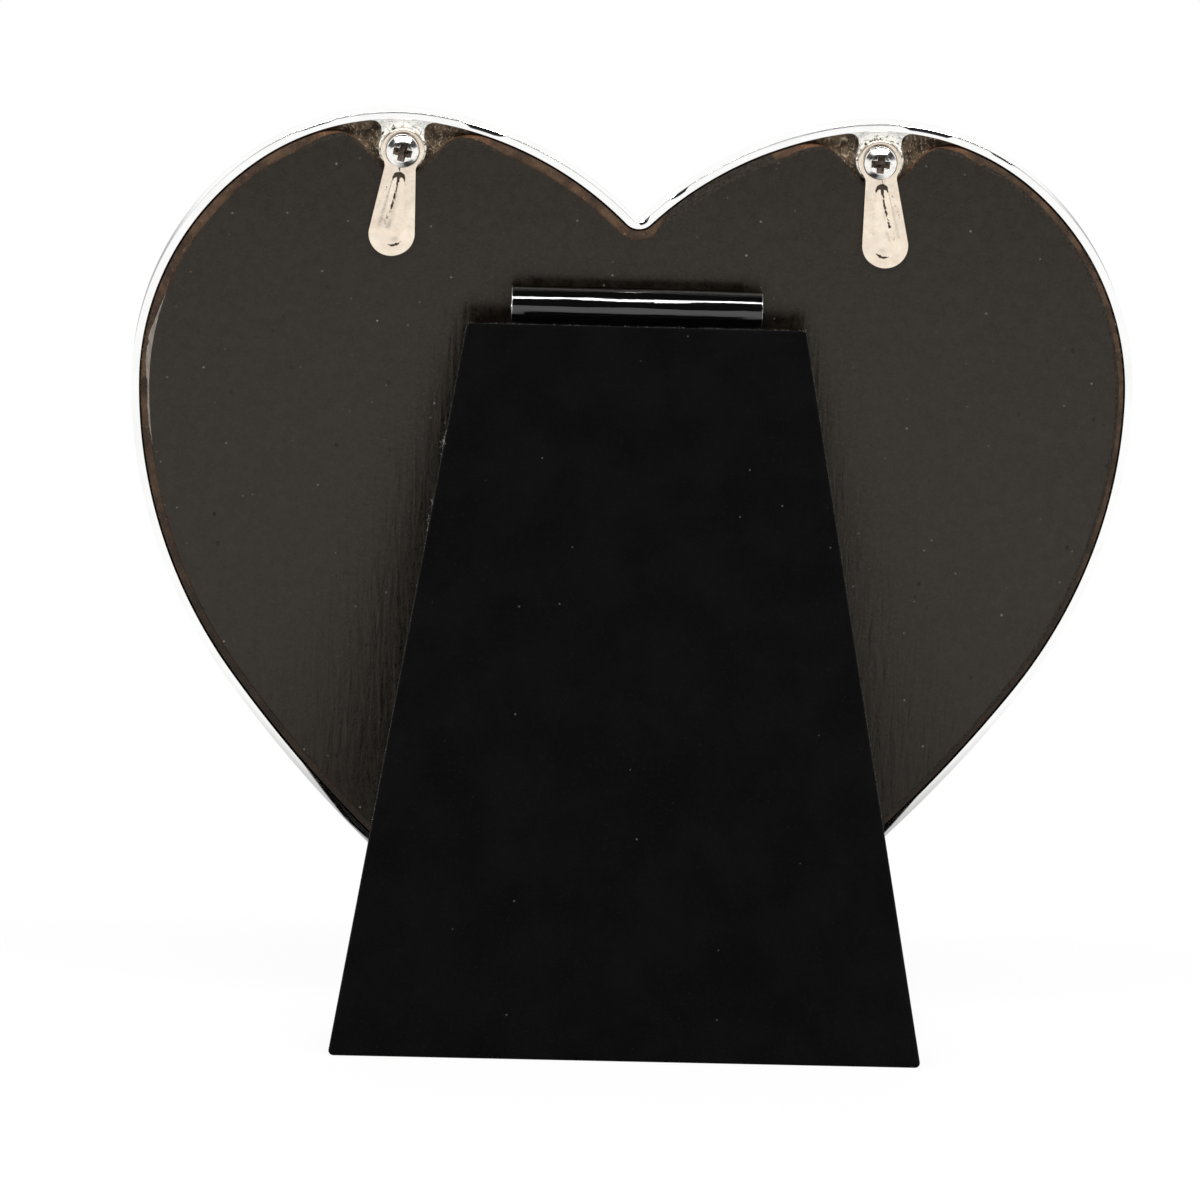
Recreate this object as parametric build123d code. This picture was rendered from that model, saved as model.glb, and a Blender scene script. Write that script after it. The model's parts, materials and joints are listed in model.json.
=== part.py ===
"""Heart shaped photo frame with a hinged strut, standing on its tip and its strut.

Lengths are in millimetres and angles in degrees.
The finished frame has +X to its right as seen from the front, +Y to its back and +Z up.

Heart frame: x across, y up the board from the cavity's sharp tip, z from the board's back face
towards the front. Strut frame: the same directions with the strut folded flat, from the hinge axis.
"""
from build123d import *
from math import asin, cos, degrees, radians, sin, sqrt, tan
import os

# Stance
lean_angle = 13.0
open_angle = 26.0
tip_flat = 0.3

# Heart outline of the cavity that holds the board
cavity_width = 144.4
cavity_height = 137.4
tip_round = 5.0
notch_round = 2.5
inner_tip_round = 1.5
# Places on the right half, as shares of the half width and of the height
widest_share = (1.0, 0.711)
flank_share = (0.803, 0.389)
shoulder_share = (0.778, 0.948)
crown_share = (0.404, 0.996)
notch_share = (0.0, 0.879)

# Casting
rim_wall = 1.15
rim_set_in = 0.8
rim_edge_round = 0.3
shelf_width = 7.6
glass_lip_width = 4.0
front_lip = 2.5
dome_round = 4.5
bevel_width = 3.0
bevel_drop = 1.0
tip_lip_height = 10.0
tip_lip_thickness = 1.1

# Lugs for the tab screws, outside the lobes' crowns and below the cavity's upper edge
screw_outset = 5.5
screw_drop = 4.1
web_width = 6.2
web_fillet = 1.3
boss_radius = 3.45
lug_hole_spare = 0.4

# Glass, photograph and filler card
glass_thickness = 1.8
photo_thickness = 0.25
card_thickness = 0.8
stack_slack = 0.05
seat_clearance = 0.3

# Backboard and its paper
board_thickness = 2.8
paper_thickness = 0.2
board_clearance = 0.25
board_bevel_width = 1.2
board_bevel_depth = 0.7
bay_clearance = 0.95
bay_half_angle = 42.6
bay_reach = 14.0
bay_shoulder = 6.0
tongue_clearance = 0.1

# Turn tabs
tab_lean = 5.75
tab_thickness = 0.8
tab_eye_radius = 3.2
tab_neck_radius = 2.25
tab_neck_drop = 2.4
tab_tail_radius = 3.4
tab_tail_drop = 12.6
tab_crotch = 0.7
tab_edge_round = 0.2
tab_gap = 0.1
ridge_height = 0.5
ridge_head_radius = 1.15
ridge_head_drop = 5.0
ridge_tail_radius = 2.2
ridge_round = 0.45

# Tab screws
screw_radius = 1.25
screw_pitch = 0.45
thread_depth = 0.25
thread_clearance = 0.03
screw_length = 5.8
screw_head_radius = 2.5
screw_head_height = 1.6
screw_head_round = 1.1
tab_hole_clearance = 0.1
recess_span = 2.9
recess_wing = 0.75
recess_depth = 1.1
recess_floor_share = 0.45

# Hinge, at a drop below the outline's notch
hinge_drop = 9.4
hinge_width = 36.5
barrel_radius = 2.5
barrel_wall = 0.6
barrel_gap = 0.3
hinge_sheet = 0.5
hinge_clearance = 0.05
web_inset = 2.6
slot_end_clearance = 0.2
stop_slack_angle = 1.0
strut_leaf_depth = 1.15
strut_leaf_length = 12.0
board_flange_length = 12.0
board_slot_clearance = 0.1

# Staples
staple_crown = 7.5
staple_wire = 0.5
staple_width = 0.9
board_staple_cover = 0.45
strut_staple_cover = 0.7
staple_spacing = 17.0
staple_drop = 8.0
staple_clearance = 0.05

# Strut
strut_top_width = 49.4
strut_side_angle = 9.42
strut_top_gap = 0.85
strut_core_thickness = 2.0
velvet_thickness = 0.4
hem_width = 6.0
hem_clearance = 0.4
lining_thickness = 0.25
lining_clearance = 0.3
strut_overrun = 14.0

# Overrun of every cut past the faces it opens, and how close counts as on a line
overrun = 2.0
nearness = 0.05

# Levels of the heart frame, worked out from the sizes above
board_front = paper_thickness + board_thickness
rim_back = rim_set_in
seat_depth = glass_thickness + photo_thickness + card_thickness + stack_slack
seat_front = board_front + seat_depth
frame_front = seat_front + front_lip
glass_inset = shelf_width + seat_clearance
window_inset = shelf_width + glass_lip_width
tip_lip_front = rim_back + tip_lip_thickness
axis_level = -(barrel_radius + barrel_gap)
tab_back = -(tab_gap + tab_thickness)
screw_seat = tab_back - tab_gap
screw_end = screw_seat + screw_length
lug_hole_depth = screw_end + lug_hole_spare
bay_radius = boss_radius + bay_clearance
hinge_height = notch_share[1] * cavity_height - hinge_drop
strut_top_drop = barrel_radius + strut_top_gap
curl_radius = barrel_radius - barrel_wall - hinge_clearance
web_length = hinge_width - web_inset - web_inset
flange_back = board_front - hinge_sheet - staple_wire - staple_clearance
board_staple_leg = hinge_sheet + flange_back - paper_thickness - board_staple_cover
strut_staple_leg = hinge_sheet + strut_core_thickness - strut_staple_cover

# Levels of the strut frame
core_front = strut_leaf_depth - hinge_sheet / 2
core_back = core_front - strut_core_thickness
leaf_front = core_front + hinge_sheet


def heart_point(share):
    """A point of the cavity's outline from its shares of half width and height."""
    return Vector(share[0] * cavity_width / 2, share[1] * cavity_height)


def arc_centre(start, direction, end):
    """Centre of the arc that leaves a start point in a direction and reaches an end point."""
    chord = end - start
    across = Vector(-direction.Y, direction.X)
    return start + across * (chord.dot(chord) / (2 * chord.dot(across)))


def arc_heading(start, direction, end):
    """Direction in which that arc arrives at its end point."""
    chord = (end - start).normalized()
    return chord * (2 * chord.dot(direction)) - direction


def axis_crossing(centre, point, grow, upward):
    """Where the circle round a centre, grown past a point, crosses the heart's own axis."""
    radius = (point - centre).length + grow
    rise = sqrt(radius * radius - centre.X * centre.X)
    return Vector(0, centre.Y + rise if upward else centre.Y - rise)


def arc_chain(heading, *points):
    """Tangent arcs through points in order: for each its centre, its start and its end."""
    arcs = []
    for start, end in zip(points, points[1:]):
        arcs.append((arc_centre(start, heading, end), start, end))
        heading = arc_heading(start, heading, end)
    return arcs


def lower_arcs():
    """Arcs of the cavity's right half from its widest place down to the tip."""
    return arc_chain(Vector(0, -1), heart_point(widest_share), heart_point(flank_share), Vector(0, 0))


def upper_arcs():
    """Arcs of the cavity's right half from its widest place up and round to the notch."""
    shares = (widest_share, shoulder_share, crown_share, notch_share)
    return arc_chain(Vector(0, 1), *(heart_point(share) for share in shares))


def edge_arc(x, grow):
    """Centre and radius of the grown upper edge's arc over a distance from the heart's axis."""
    for centre, start, end in upper_arcs():
        radius = (start - centre).length
        growth = (radius + grow) / radius
        if (end.X - centre.X) * growth <= x - centre.X <= (start.X - centre.X) * growth:
            return centre, radius + grow


def edge_point(x, grow=0.0):
    """Point of the cavity's grown upper edge at a distance from the heart's axis."""
    centre, radius = edge_arc(x, grow)
    return Vector(x, centre.Y + sqrt(radius * radius - (x - centre.X) ** 2))


def grown_arcs(arcs, grow, first_heading, last):
    """The edges of a chain of arcs grown by a distance, up to a last point."""
    heading, edges = first_heading, []
    start = arcs[0][1] + (arcs[0][1] - arcs[0][0]).normalized() * grow
    for centre, _, end in arcs:
        finish = last if end == arcs[-1][2] else end + (end - centre).normalized() * grow
        edges.append(TangentArc(start, finish, tangent=heading))
        start, heading = finish, edges[-1] % 1
    return edges


def heart(grow):
    """The cavity's heart grown by a distance, with its tip and notch rounded to match."""
    lower, upper = lower_arcs(), upper_arcs()
    tip = axis_crossing(lower[-1][0], lower[-1][2], grow, False)
    inner_centre, _, notch = upper[-1]
    round_centre = axis_crossing(inner_centre, notch, notch_round, True)
    inner_radius = (notch - inner_centre).length + grow
    join = inner_centre + (round_centre - inner_centre).normalized() * inner_radius
    right = Curve() + grown_arcs(lower, grow, Vector(0, -1), tip)
    right += grown_arcs(upper, grow, Vector(0, 1), join)
    low = round_centre - Vector(0, notch_round - grow)
    dip = ThreePointArc(join, low, Vector(-join.X, join.Y))
    face = make_face(right + mirror(right, about=Plane.YZ) + dip)
    return fillet(face.vertices().sort_by(Axis.Y)[0], max(tip_round + grow, inner_tip_round))


def slab(face, low, high):
    """A face extruded between two levels."""
    return extrude(Pos(0, 0, low) * face, amount=high - low)


def block(width, y_low, y_high, z_low, z_high):
    """A box centred across, between two heights and two levels."""
    middle = Pos(0, (y_low + y_high) / 2, (z_low + z_high) / 2)
    return middle * Box(width, y_high - y_low, z_high - z_low)


def screw_places():
    """The two tab screws' centres: left and right as seen from behind."""
    x = heart_point(crown_share).X + screw_outset
    y = edge_point(x).Y - screw_drop
    return {"left": Vector(x, y), "right": Vector(-x, y)}


def new_corners(plan, old):
    """Corners of a plan that aren't corners of an older one."""
    known = [v.center() for v in old.vertices()]
    return [v for v in plan.vertices() if all((v.center() - k).length > nearness for k in known)]


def web_flare(screw, side):
    """Plan of the fillet between one side of a lug's web and the rim."""
    hub = edge_point(screw.X + side * (web_width / 2 + web_fillet), -web_fillet)
    outward = (hub - edge_arc(hub.X, -web_fillet)[0]).normalized()
    rim_end = hub + outward * (web_fillet + rim_wall / 2)
    rim_root = Vector(screw.X, edge_point(screw.X).Y + rim_wall / 2)
    corners = [Vector(screw.X, hub.Y), hub, rim_end, rim_root]
    wedge = make_face(Polyline(*corners, close=True))
    return wedge - Pos(hub.X, hub.Y) * Circle(web_fillet)


def lug_webs():
    """Plans of the two webs that carry the bosses, blended into the rim."""
    screw = screw_places()["left"]
    reach = screw_drop + rim_wall
    stem = Pos(0, reach / 2) * Rectangle(web_width, reach) + Circle(web_width / 2)
    web = Pos(screw.X, screw.Y) * stem + web_flare(screw, -1) + web_flare(screw, 1)
    web &= heart(rim_wall / 2)
    return [web, mirror(web, about=Plane.YZ)]


def frame_casting():
    """Silvered heart rim in one casting: shelf, glass seat, bevelled window, lugs and tip lip."""
    body = slab(heart(rim_wall), rim_back, frame_front)
    front_edges = body.faces().sort_by(Axis.Z)[-1].outer_wire().edges()
    body = fillet(front_edges, dome_round)
    back_edges = body.faces().sort_by(Axis.Z)[0].outer_wire().edges()
    body = fillet(back_edges, rim_edge_round)
    body -= slab(heart(-window_inset), rim_back - overrun, frame_front + overrun)
    front = body.faces().sort_by(Axis.Z)[-1]
    body = chamfer(front.inner_wires()[0].edges(), bevel_width, bevel_drop, reference=front)
    body -= slab(heart(0), rim_back - overrun, board_front)
    body -= slab(heart(-shelf_width), board_front - overrun, seat_front)
    for web in lug_webs():
        body += slab(web, rim_back, board_front)
    zone_height = tip_lip_height + overrun + overrun
    lip_zone = Pos(0, tip_lip_height - zone_height / 2) * Rectangle(cavity_width, zone_height)
    body += slab(heart(rim_wall / 2) & lip_zone, rim_back, tip_lip_front)
    for centre in screw_places().values():
        place = Pos(centre.X, centre.Y, 0)
        body += place * slab(Circle(boss_radius), 0, board_front)
        body -= place * slab(Circle(screw_radius + thread_clearance), -overrun, lug_hole_depth)
    return body


def seated_plate(low, high):
    """A heart plate that fills the glass seat between two levels."""
    return slab(heart(-glass_inset), low, high)


def board_plan():
    """Plan of the backboard with its two bays round the lugs."""
    whole = heart(-board_clearance)
    plan = whole
    half = radians(bay_half_angle)
    side = Vector(bay_radius * cos(half), -bay_radius * sin(half))
    far = side + Vector(sin(half), cos(half)) * bay_reach
    wedge = Polyline((side.X, side.Y), (far.X, far.Y), (-far.X, far.Y), (-side.X, side.Y), close=True)
    centres = screw_places().values()
    for centre in centres:
        plan -= Pos(centre.X, centre.Y) * (make_face(wedge) + Circle(bay_radius))
    shoulders = []
    for corner in new_corners(plan, whole):
        away = min((corner.center() - centre).length for centre in centres)
        if bay_radius + nearness < away < bay_radius + bay_reach:
            shoulders.append(corner)
    return fillet(shoulders, bay_shoulder)


def hinge_slot_cut():
    """Slot through the backboard for the hinge's web."""
    low = hinge_height + curl_radius - hinge_sheet - board_slot_clearance
    high = hinge_height + curl_radius + board_slot_clearance
    return block(web_length + 2 * board_slot_clearance, low, high, -overrun, board_front + overrun)


def flange_cut():
    """Rebate in the backboard's front for the hinge's flange and its staples."""
    low = hinge_height + curl_radius - board_flange_length - board_slot_clearance
    high = hinge_height + curl_radius + board_slot_clearance
    return block(web_length + 2 * board_slot_clearance, low, high, flange_back, board_front + overrun)


def staple_bridge(leg, swell):
    """One staple with its crown on level zero, legs towards -z, grown all round by a swell."""
    width = staple_width + 2 * swell
    crown = Pos(0, 0, staple_wire / 2) * Box(staple_crown + 2 * swell, width, staple_wire + 2 * swell)
    reach = (staple_crown - staple_wire) / 2
    for side in (-1, 1):
        long = leg + swell
        crown += Pos(side * reach, 0, -long / 2) * Box(staple_wire + 2 * swell, width, long)
    return crown


def staple_pair(leg, swell, y, level):
    """Two staples side by side at a height, with their crowns on a level."""
    pair = []
    for side in (-1, 1):
        pair.append(Pos(side * staple_spacing / 2, y, level) * staple_bridge(leg, swell))
    return pair


def board_staples(swell=0.0):
    """The staples that hold the hinge's flange to the backboard, from its front."""
    y = hinge_height + curl_radius - staple_drop
    return staple_pair(board_staple_leg, swell, y, flange_back + hinge_sheet)


def backboard():
    """Fibre board back with a bevelled edge, lug bays, hinge slot and a tongue at its tip."""
    bevelled = slab(heart(-board_clearance), 0, board_front)
    back = bevelled.faces().sort_by(Axis.Z)[0]
    bevelled = chamfer(back.outer_wire().edges(), board_bevel_width, board_bevel_depth, reference=back)
    board = slab(board_plan(), paper_thickness, board_front) & bevelled
    lip_top = tip_lip_height + board_clearance
    board -= block(cavity_width, -overrun, lip_top, -overrun, tip_lip_front + tongue_clearance)
    board -= hinge_slot_cut() + flange_cut()
    for staple in board_staples(staple_clearance):
        board -= staple
    return board


def backboard_paper():
    """Dark paper on the flat of the backboard's back face, inside its bevel."""
    flat = board_plan() & heart(-board_clearance - board_bevel_width)
    above_lip = Pos(0, tip_lip_height + board_clearance + cavity_height / 2) * Rectangle(
        cavity_width, cavity_height)
    return slab(flat & above_lip, 0, paper_thickness) - hinge_slot_cut()


def turn_tab(side):
    """Teardrop tab that turns on its screw, with a raised ridge along its tail."""
    neck = Pos(0, -tab_neck_drop) * Circle(tab_neck_radius)
    tail = Pos(0, -tab_tail_drop) * Circle(tab_tail_radius)
    blade = make_hull(neck.edges() + tail.edges()) + Circle(tab_eye_radius)
    crotches = [v for v in blade.vertices() if abs(v.X) > tab_neck_radius / 2
                and -tab_eye_radius < v.Y < 0]
    blade = fillet(crotches, tab_crotch)
    plate = slab(blade, tab_back, -tab_gap)
    rear_edges = plate.faces().sort_by(Axis.Z)[0].outer_wire().edges()
    plate = fillet(rear_edges, tab_edge_round)
    head = Pos(0, -ridge_head_drop) * Circle(ridge_head_radius)
    foot = Pos(0, -tab_tail_drop) * Circle(ridge_tail_radius)
    plan = make_hull(head.edges() + foot.edges())
    ridge = slab(plan, tab_back - ridge_height, -tab_gap - tab_thickness / 2)
    ridge = fillet(ridge.faces().sort_by(Axis.Z)[0].outer_wire().edges(), ridge_round)
    plate += ridge
    plate -= slab(Circle(screw_radius + tab_hole_clearance), tab_back - overrun, overrun)
    centre = screw_places()[side]
    turn = tab_lean if side == "left" else -tab_lean
    return Pos(centre.X, centre.Y, 0) * Rot(0, 0, turn) * plate


def cross_recess(head_back):
    """Tapered cross recess cut into a screw's head from its back."""
    floor = recess_floor_share
    cut = None
    for turn in (0, 90):
        mouth = Plane.XY * Rectangle(recess_span, recess_wing)
        deep = Pos(0, 0, recess_depth) * Rectangle(recess_span * floor, recess_wing * floor)
        wing = Pos(0, 0, head_back) * Rot(0, 0, turn) * loft([mouth, deep])
        cut = wing if cut is None else cut + wing
    return cut


def tab_screw(side):
    """Pan head cross recess screw, with its thread drawn as rings."""
    back = screw_seat - screw_head_height
    head = slab(Circle(screw_head_radius), back, screw_seat)
    head = fillet(head.edges().sort_by(Axis.Z)[0], screw_head_round)
    head -= cross_recess(back)
    root = screw_radius - thread_depth
    outline = [(0, screw_seat), (screw_radius, screw_seat), (screw_radius, 0)]
    for turn in range(int(screw_end / screw_pitch) - 1):
        valley = turn * screw_pitch + screw_pitch / 2
        outline += [(root, valley), (screw_radius, valley + screw_pitch / 2)]
    outline += [(root, screw_end), (0, screw_end)]
    section = make_face(Plane.XZ * Polyline(*outline, close=True))
    screw = head + revolve(section, Axis.Z)
    centre = screw_places()[side]
    return Pos(centre.X, centre.Y, 0) * screw


def section_bar(face, length):
    """A section in the (y, z) plane made into a bar across the frame, centred."""
    return extrude(Plane.YZ * face, amount=length / 2, both=True)


def hinge_board_leaf():
    """Board half of the hinge: a curl in the barrel, a web through the board and a flange."""
    curl = Circle(curl_radius) - Circle(curl_radius - hinge_sheet)
    depth = flange_back - axis_level + hinge_sheet
    web = Pos(curl_radius - hinge_sheet / 2, depth / 2) * Rectangle(hinge_sheet, depth)
    flange_end = curl_radius - board_flange_length
    flange = Pos((curl_radius + flange_end) / 2, depth - hinge_sheet / 2) * Rectangle(
        board_flange_length, hinge_sheet)
    leaf = section_bar(curl + web + flange, web_length)
    leaf = Pos(0, hinge_height, axis_level) * leaf
    for staple in board_staples(staple_clearance):
        leaf -= staple
    return leaf


def barrel_slot():
    """Section of the barrel's slot: what the web sweeps between folded and open."""
    inner = barrel_radius - barrel_wall
    low = degrees(asin((curl_radius - hinge_sheet) / barrel_radius)) - stop_slack_angle
    high = degrees(asin(curl_radius / inner)) + open_angle + stop_slack_angle
    far = barrel_radius + overrun
    corners = [(0, 0)]
    for angle in (low, (low + high) / 2, high):
        corners.append((far * sin(radians(angle)), far * cos(radians(angle))))
    return make_face(Polyline(*corners, close=True))


def strut_staples(swell=0.0):
    """The staples that hold the hinge's leaf to the strut's core, crowns on the board's side."""
    return staple_pair(strut_staple_leg, swell, -staple_drop, leaf_front)


def hinge_barrel_leaf():
    """Strut half of the hinge: the slotted barrel and the leaf stapled to the strut's core."""
    inner = barrel_radius - barrel_wall
    barrel = section_bar(Circle(barrel_radius) - Circle(inner), hinge_width)
    barrel -= section_bar(barrel_slot(), web_length + 2 * slot_end_clearance)
    middle = barrel_radius - barrel_wall / 2
    root = -sqrt(middle * middle - strut_leaf_depth * strut_leaf_depth)
    barrel += block(hinge_width, -strut_leaf_length, root, core_front, leaf_front)
    for staple in strut_staples(staple_clearance):
        barrel -= staple
    return barrel


def strut_half_width(drop):
    """Half the width of the velvet strut at a distance below the hinge axis."""
    return strut_top_width / 2 + (drop - strut_top_drop) * tan(radians(strut_side_angle))


def strut_length():
    """Distance from the hinge axis down the strut to the table."""
    return axis_point().Z / cos(radians(open_angle - lean_angle))


def trapezoid(inset, top_inset):
    """Strut's plan set in from the velvet's edges, running past the table."""
    top = strut_top_drop + top_inset
    bottom = strut_length() + strut_overrun
    side = inset / cos(radians(strut_side_angle))
    wide, narrow = strut_half_width(bottom) - side, strut_half_width(top) - side
    corners = [(narrow, -top), (wide, -bottom), (-wide, -bottom), (-narrow, -top)]
    return make_face(Polyline(*corners, close=True))


def above_table(piece, height):
    """A piece of the strut in the standing frame, cut off level at a height above the table."""
    standing = strut_place() * piece
    size = strut_length() + cavity_width
    table = Pos(0, 0, height - size / 2) * Box(2 * size, 2 * size, size)
    return standing - table


def strut_core():
    """Hard board core of the strut."""
    core = slab(trapezoid(velvet_thickness, velvet_thickness), core_back, core_front)
    for staple in strut_staples(staple_clearance):
        core -= staple
    return above_table(core, velvet_thickness)


def strut_velvet():
    """Black velvet round the core's back and edges, turned over its front in a hem."""
    outer = slab(trapezoid(0, 0), core_back - velvet_thickness, core_front + velvet_thickness)
    core = slab(trapezoid(velvet_thickness, velvet_thickness), core_back, core_front)
    inset = velvet_thickness + hem_width
    opening = slab(trapezoid(inset, inset), core_back, core_front + overrun)
    mouth = hinge_width + 2 * hem_clearance
    leaf_gap = block(mouth, -strut_top_drop - 2 * inset, 0, core_front, core_front + overrun)
    velvet = above_table(outer - leaf_gap, 0) - above_table(core, velvet_thickness)
    return velvet - above_table(opening, inset)


def strut_lining():
    """Paper panel on the core's front inside the velvet's hem, cut out round the hinge leaf."""
    inset = velvet_thickness + hem_width + lining_clearance
    panel = slab(trapezoid(inset, inset), core_front, core_front + lining_thickness)
    mouth = hinge_width + 2 * lining_clearance
    low = -strut_leaf_length - lining_clearance
    panel -= block(mouth, low, 0, core_front - overrun, core_front + overrun)
    return above_table(panel, inset)


def tip_lowest():
    """Height of the leaning casting's lowest point over the heart frame's origin."""
    return (Rot(90 - lean_angle, 0, 0) * CASTING).bounding_box().min.Z


def heart_place():
    """Leaning place of the heart frame, with the tip's flat on the table."""
    return Pos(0, 0, -tip_lowest() - tip_flat) * Rot(90 - lean_angle, 0, 0)


def axis_point():
    """The hinge axis in the standing frame."""
    return (heart_place() * Pos(0, hinge_height, axis_level)).position


def strut_place():
    """Place of the open strut in the standing frame."""
    return heart_place() * Pos(0, hinge_height, axis_level) * Rot(open_angle, 0, 0)


def standing_casting():
    """The casting on the table, with the small flat that its tip rests on."""
    size = cavity_width + cavity_height
    table = Pos(0, 0, -size / 2) * Box(size, size, size)
    return heart_place() * CASTING - table


def group(pieces):
    """Separate solids kept together in one node."""
    return Compound(children=list(pieces))


def pieces():
    """Every piece by its node's name, in the standing frame."""
    lean, strut = heart_place(), strut_place()
    card_front = board_front + card_thickness
    photo_front = card_front + photo_thickness
    made = {
        "frame_casting": standing_casting(),
        "glass_pane": lean * seated_plate(seat_front - glass_thickness, seat_front),
        "photo_insert": lean * seated_plate(card_front, photo_front),
        "filler_card": lean * seated_plate(board_front, card_front),
        "backboard": lean * backboard(),
        "backboard_paper": lean * backboard_paper(),
        "hinge_board_leaf": lean * hinge_board_leaf(),
        "hinge_board_staples": lean * group(board_staples()),
        "hinge_barrel_leaf": strut * hinge_barrel_leaf(),
        "hinge_strut_staples": strut * group(strut_staples()),
        "strut_core": strut_core(),
        "strut_velvet": strut_velvet(),
        "strut_lining": strut_lining(),
    }
    for side in screw_places():
        made["turn_tab_" + side] = lean * turn_tab(side)
        made["tab_screw_" + side] = lean * tab_screw(side)
    return made


def middle_of(made):
    """Middle of all pieces' extent from front to back."""
    boxes = [piece.bounding_box() for piece in made.values()]
    return (min(box.min.Y for box in boxes) + max(box.max.Y for box in boxes)) / 2


CASTING = frame_casting()
PIECES = pieces()
SHIFT = Pos(0, -middle_of(PIECES), 0)

os.makedirs("parts", exist_ok=True)
for name, piece in PIECES.items():
    export_step(SHIFT * piece, f"parts/{name}.step")
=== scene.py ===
"""Heart shaped photo frame, standing, seen from behind. Lengths are in metres."""
import json
import math
import random

import bmesh
import bpy
import numpy as np
from mathutils import Matrix, Vector, noise

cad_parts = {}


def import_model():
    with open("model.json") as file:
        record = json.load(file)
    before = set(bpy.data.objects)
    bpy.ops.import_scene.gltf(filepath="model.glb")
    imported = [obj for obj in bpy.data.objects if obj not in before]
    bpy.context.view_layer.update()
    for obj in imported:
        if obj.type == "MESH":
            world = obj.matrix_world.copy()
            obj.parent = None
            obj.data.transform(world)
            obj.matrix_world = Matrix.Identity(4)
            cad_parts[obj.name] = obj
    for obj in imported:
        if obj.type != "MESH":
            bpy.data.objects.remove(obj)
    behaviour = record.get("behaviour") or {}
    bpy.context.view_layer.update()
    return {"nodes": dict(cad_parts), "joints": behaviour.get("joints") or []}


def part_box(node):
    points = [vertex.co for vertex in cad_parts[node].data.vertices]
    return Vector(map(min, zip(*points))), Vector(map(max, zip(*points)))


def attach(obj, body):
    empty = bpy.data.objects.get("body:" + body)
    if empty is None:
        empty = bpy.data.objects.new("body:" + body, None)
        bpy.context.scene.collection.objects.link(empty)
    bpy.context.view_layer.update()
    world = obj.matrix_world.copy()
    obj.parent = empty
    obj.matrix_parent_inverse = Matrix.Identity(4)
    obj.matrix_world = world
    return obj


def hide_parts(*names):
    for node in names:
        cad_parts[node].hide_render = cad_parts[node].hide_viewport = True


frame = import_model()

MM = 0.001

# Heart outline of the cavity that holds the board, with shares of its half width and height
cavity_width = 144.4 * MM
cavity_height = 137.4 * MM
tip_round = 5.0 * MM
notch_round = 2.5 * MM
inner_tip_round = 1.5 * MM
widest_share = (1.0, 0.711)
flank_share = (0.803, 0.389)
shoulder_share = (0.778, 0.948)
crown_share = (0.404, 0.996)
notch_share = (0.0, 0.879)

# Casting section, as growth from the cavity's edge and level towards the front
rim_wall = 1.15 * MM
rim_back = 0.8 * MM
rim_edge_round = 0.3 * MM
# Steps in the rounding of its outer back edge and of its creases, and how deep polishing cut that edge
edge_steps = 8
crease_steps = 3
worn_depth = 0.2 * MM
# Worn spots of its back edge in the upper half: place across, half length and rounding
worn_spots = [
    (22.8 * MM, 3.0 * MM, 0.7 * MM), (47.4 * MM, 2.6 * MM, 0.35 * MM), (-0.8 * MM, 0.8 * MM, 0.6 * MM),
    (-5.9 * MM, 1.2 * MM, 0.5 * MM), (-41.6 * MM, 3.9 * MM, 0.65 * MM), (-52.5 * MM, 1.8 * MM, 0.3 * MM),
]
board_front = 3.0 * MM
seat_front = 5.9 * MM
frame_front = 8.4 * MM
shelf_width = 7.6 * MM
window_inset = 11.6 * MM
bevel_width = 3.0 * MM
bevel_drop = 1.0 * MM
dome_round = 4.5 * MM
crease_round = 0.12 * MM
web_sink = 0.02 * MM
tip_lip_height = 10.0 * MM
tip_lip_front = 1.9 * MM

# The board's paper: how far it bends forward per length that it reaches over the bevel, and the share
# of the height over which a painted glint lies on its bent edge at the left
paper_thickness = 0.2 * MM
flap_slope = 0.42
glint_span = (0.64, 0.81)
# Its reach in millimetres, the span where it has it and how softly it fades: in the bays by distance
# from the screw, at the left by the share of the height, at the right by that of the half width
bay_reaches = [(0.35, 0, 9 * MM, 2 * MM), (0.65, 9.5 * MM, 11.5 * MM, 3.5 * MM)]
left_reaches = [(0.72, 0.735, 0.76, 0.045), (0.28, 0.67, 0.72, 0.03)]
right_reaches = [(1.3, 0.07, 0.4, 0.04), (0.5, 0.6, 1.0, 0.2)]
bay_level = 0.88
bay_half_width = 15 * MM

# Lugs, tabs and screws
screw_outset = 5.5 * MM
screw_drop = 4.1 * MM
web_width = 6.2 * MM
web_fillet = 1.3 * MM
boss_radius = 3.45 * MM
lug_hole_radius = 1.28 * MM
lug_hole_depth = 5.2 * MM
tab_lean = math.radians(5.75)
tab_gap = 0.1 * MM
tab_thickness = 0.8 * MM
tab_edge_round = 0.2 * MM
tab_eye_radius = 3.2 * MM
tab_neck_radius = 2.25 * MM
tab_neck_drop = 2.4 * MM
tab_tail_radius = 3.4 * MM
tab_tail_drop = 12.6 * MM
tab_crotch = 0.5 * MM
tab_hole_radius = 1.35 * MM
ridge_height = 0.44 * MM
ridge_head_radius = 0.95 * MM
ridge_head_drop = 4.3 * MM
ridge_tail_radius = 2.5 * MM
ridge_tail_drop = 11.9 * MM
ridge_step = 0.37 * MM
ridge_rise_end = 7.0 * MM
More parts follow.
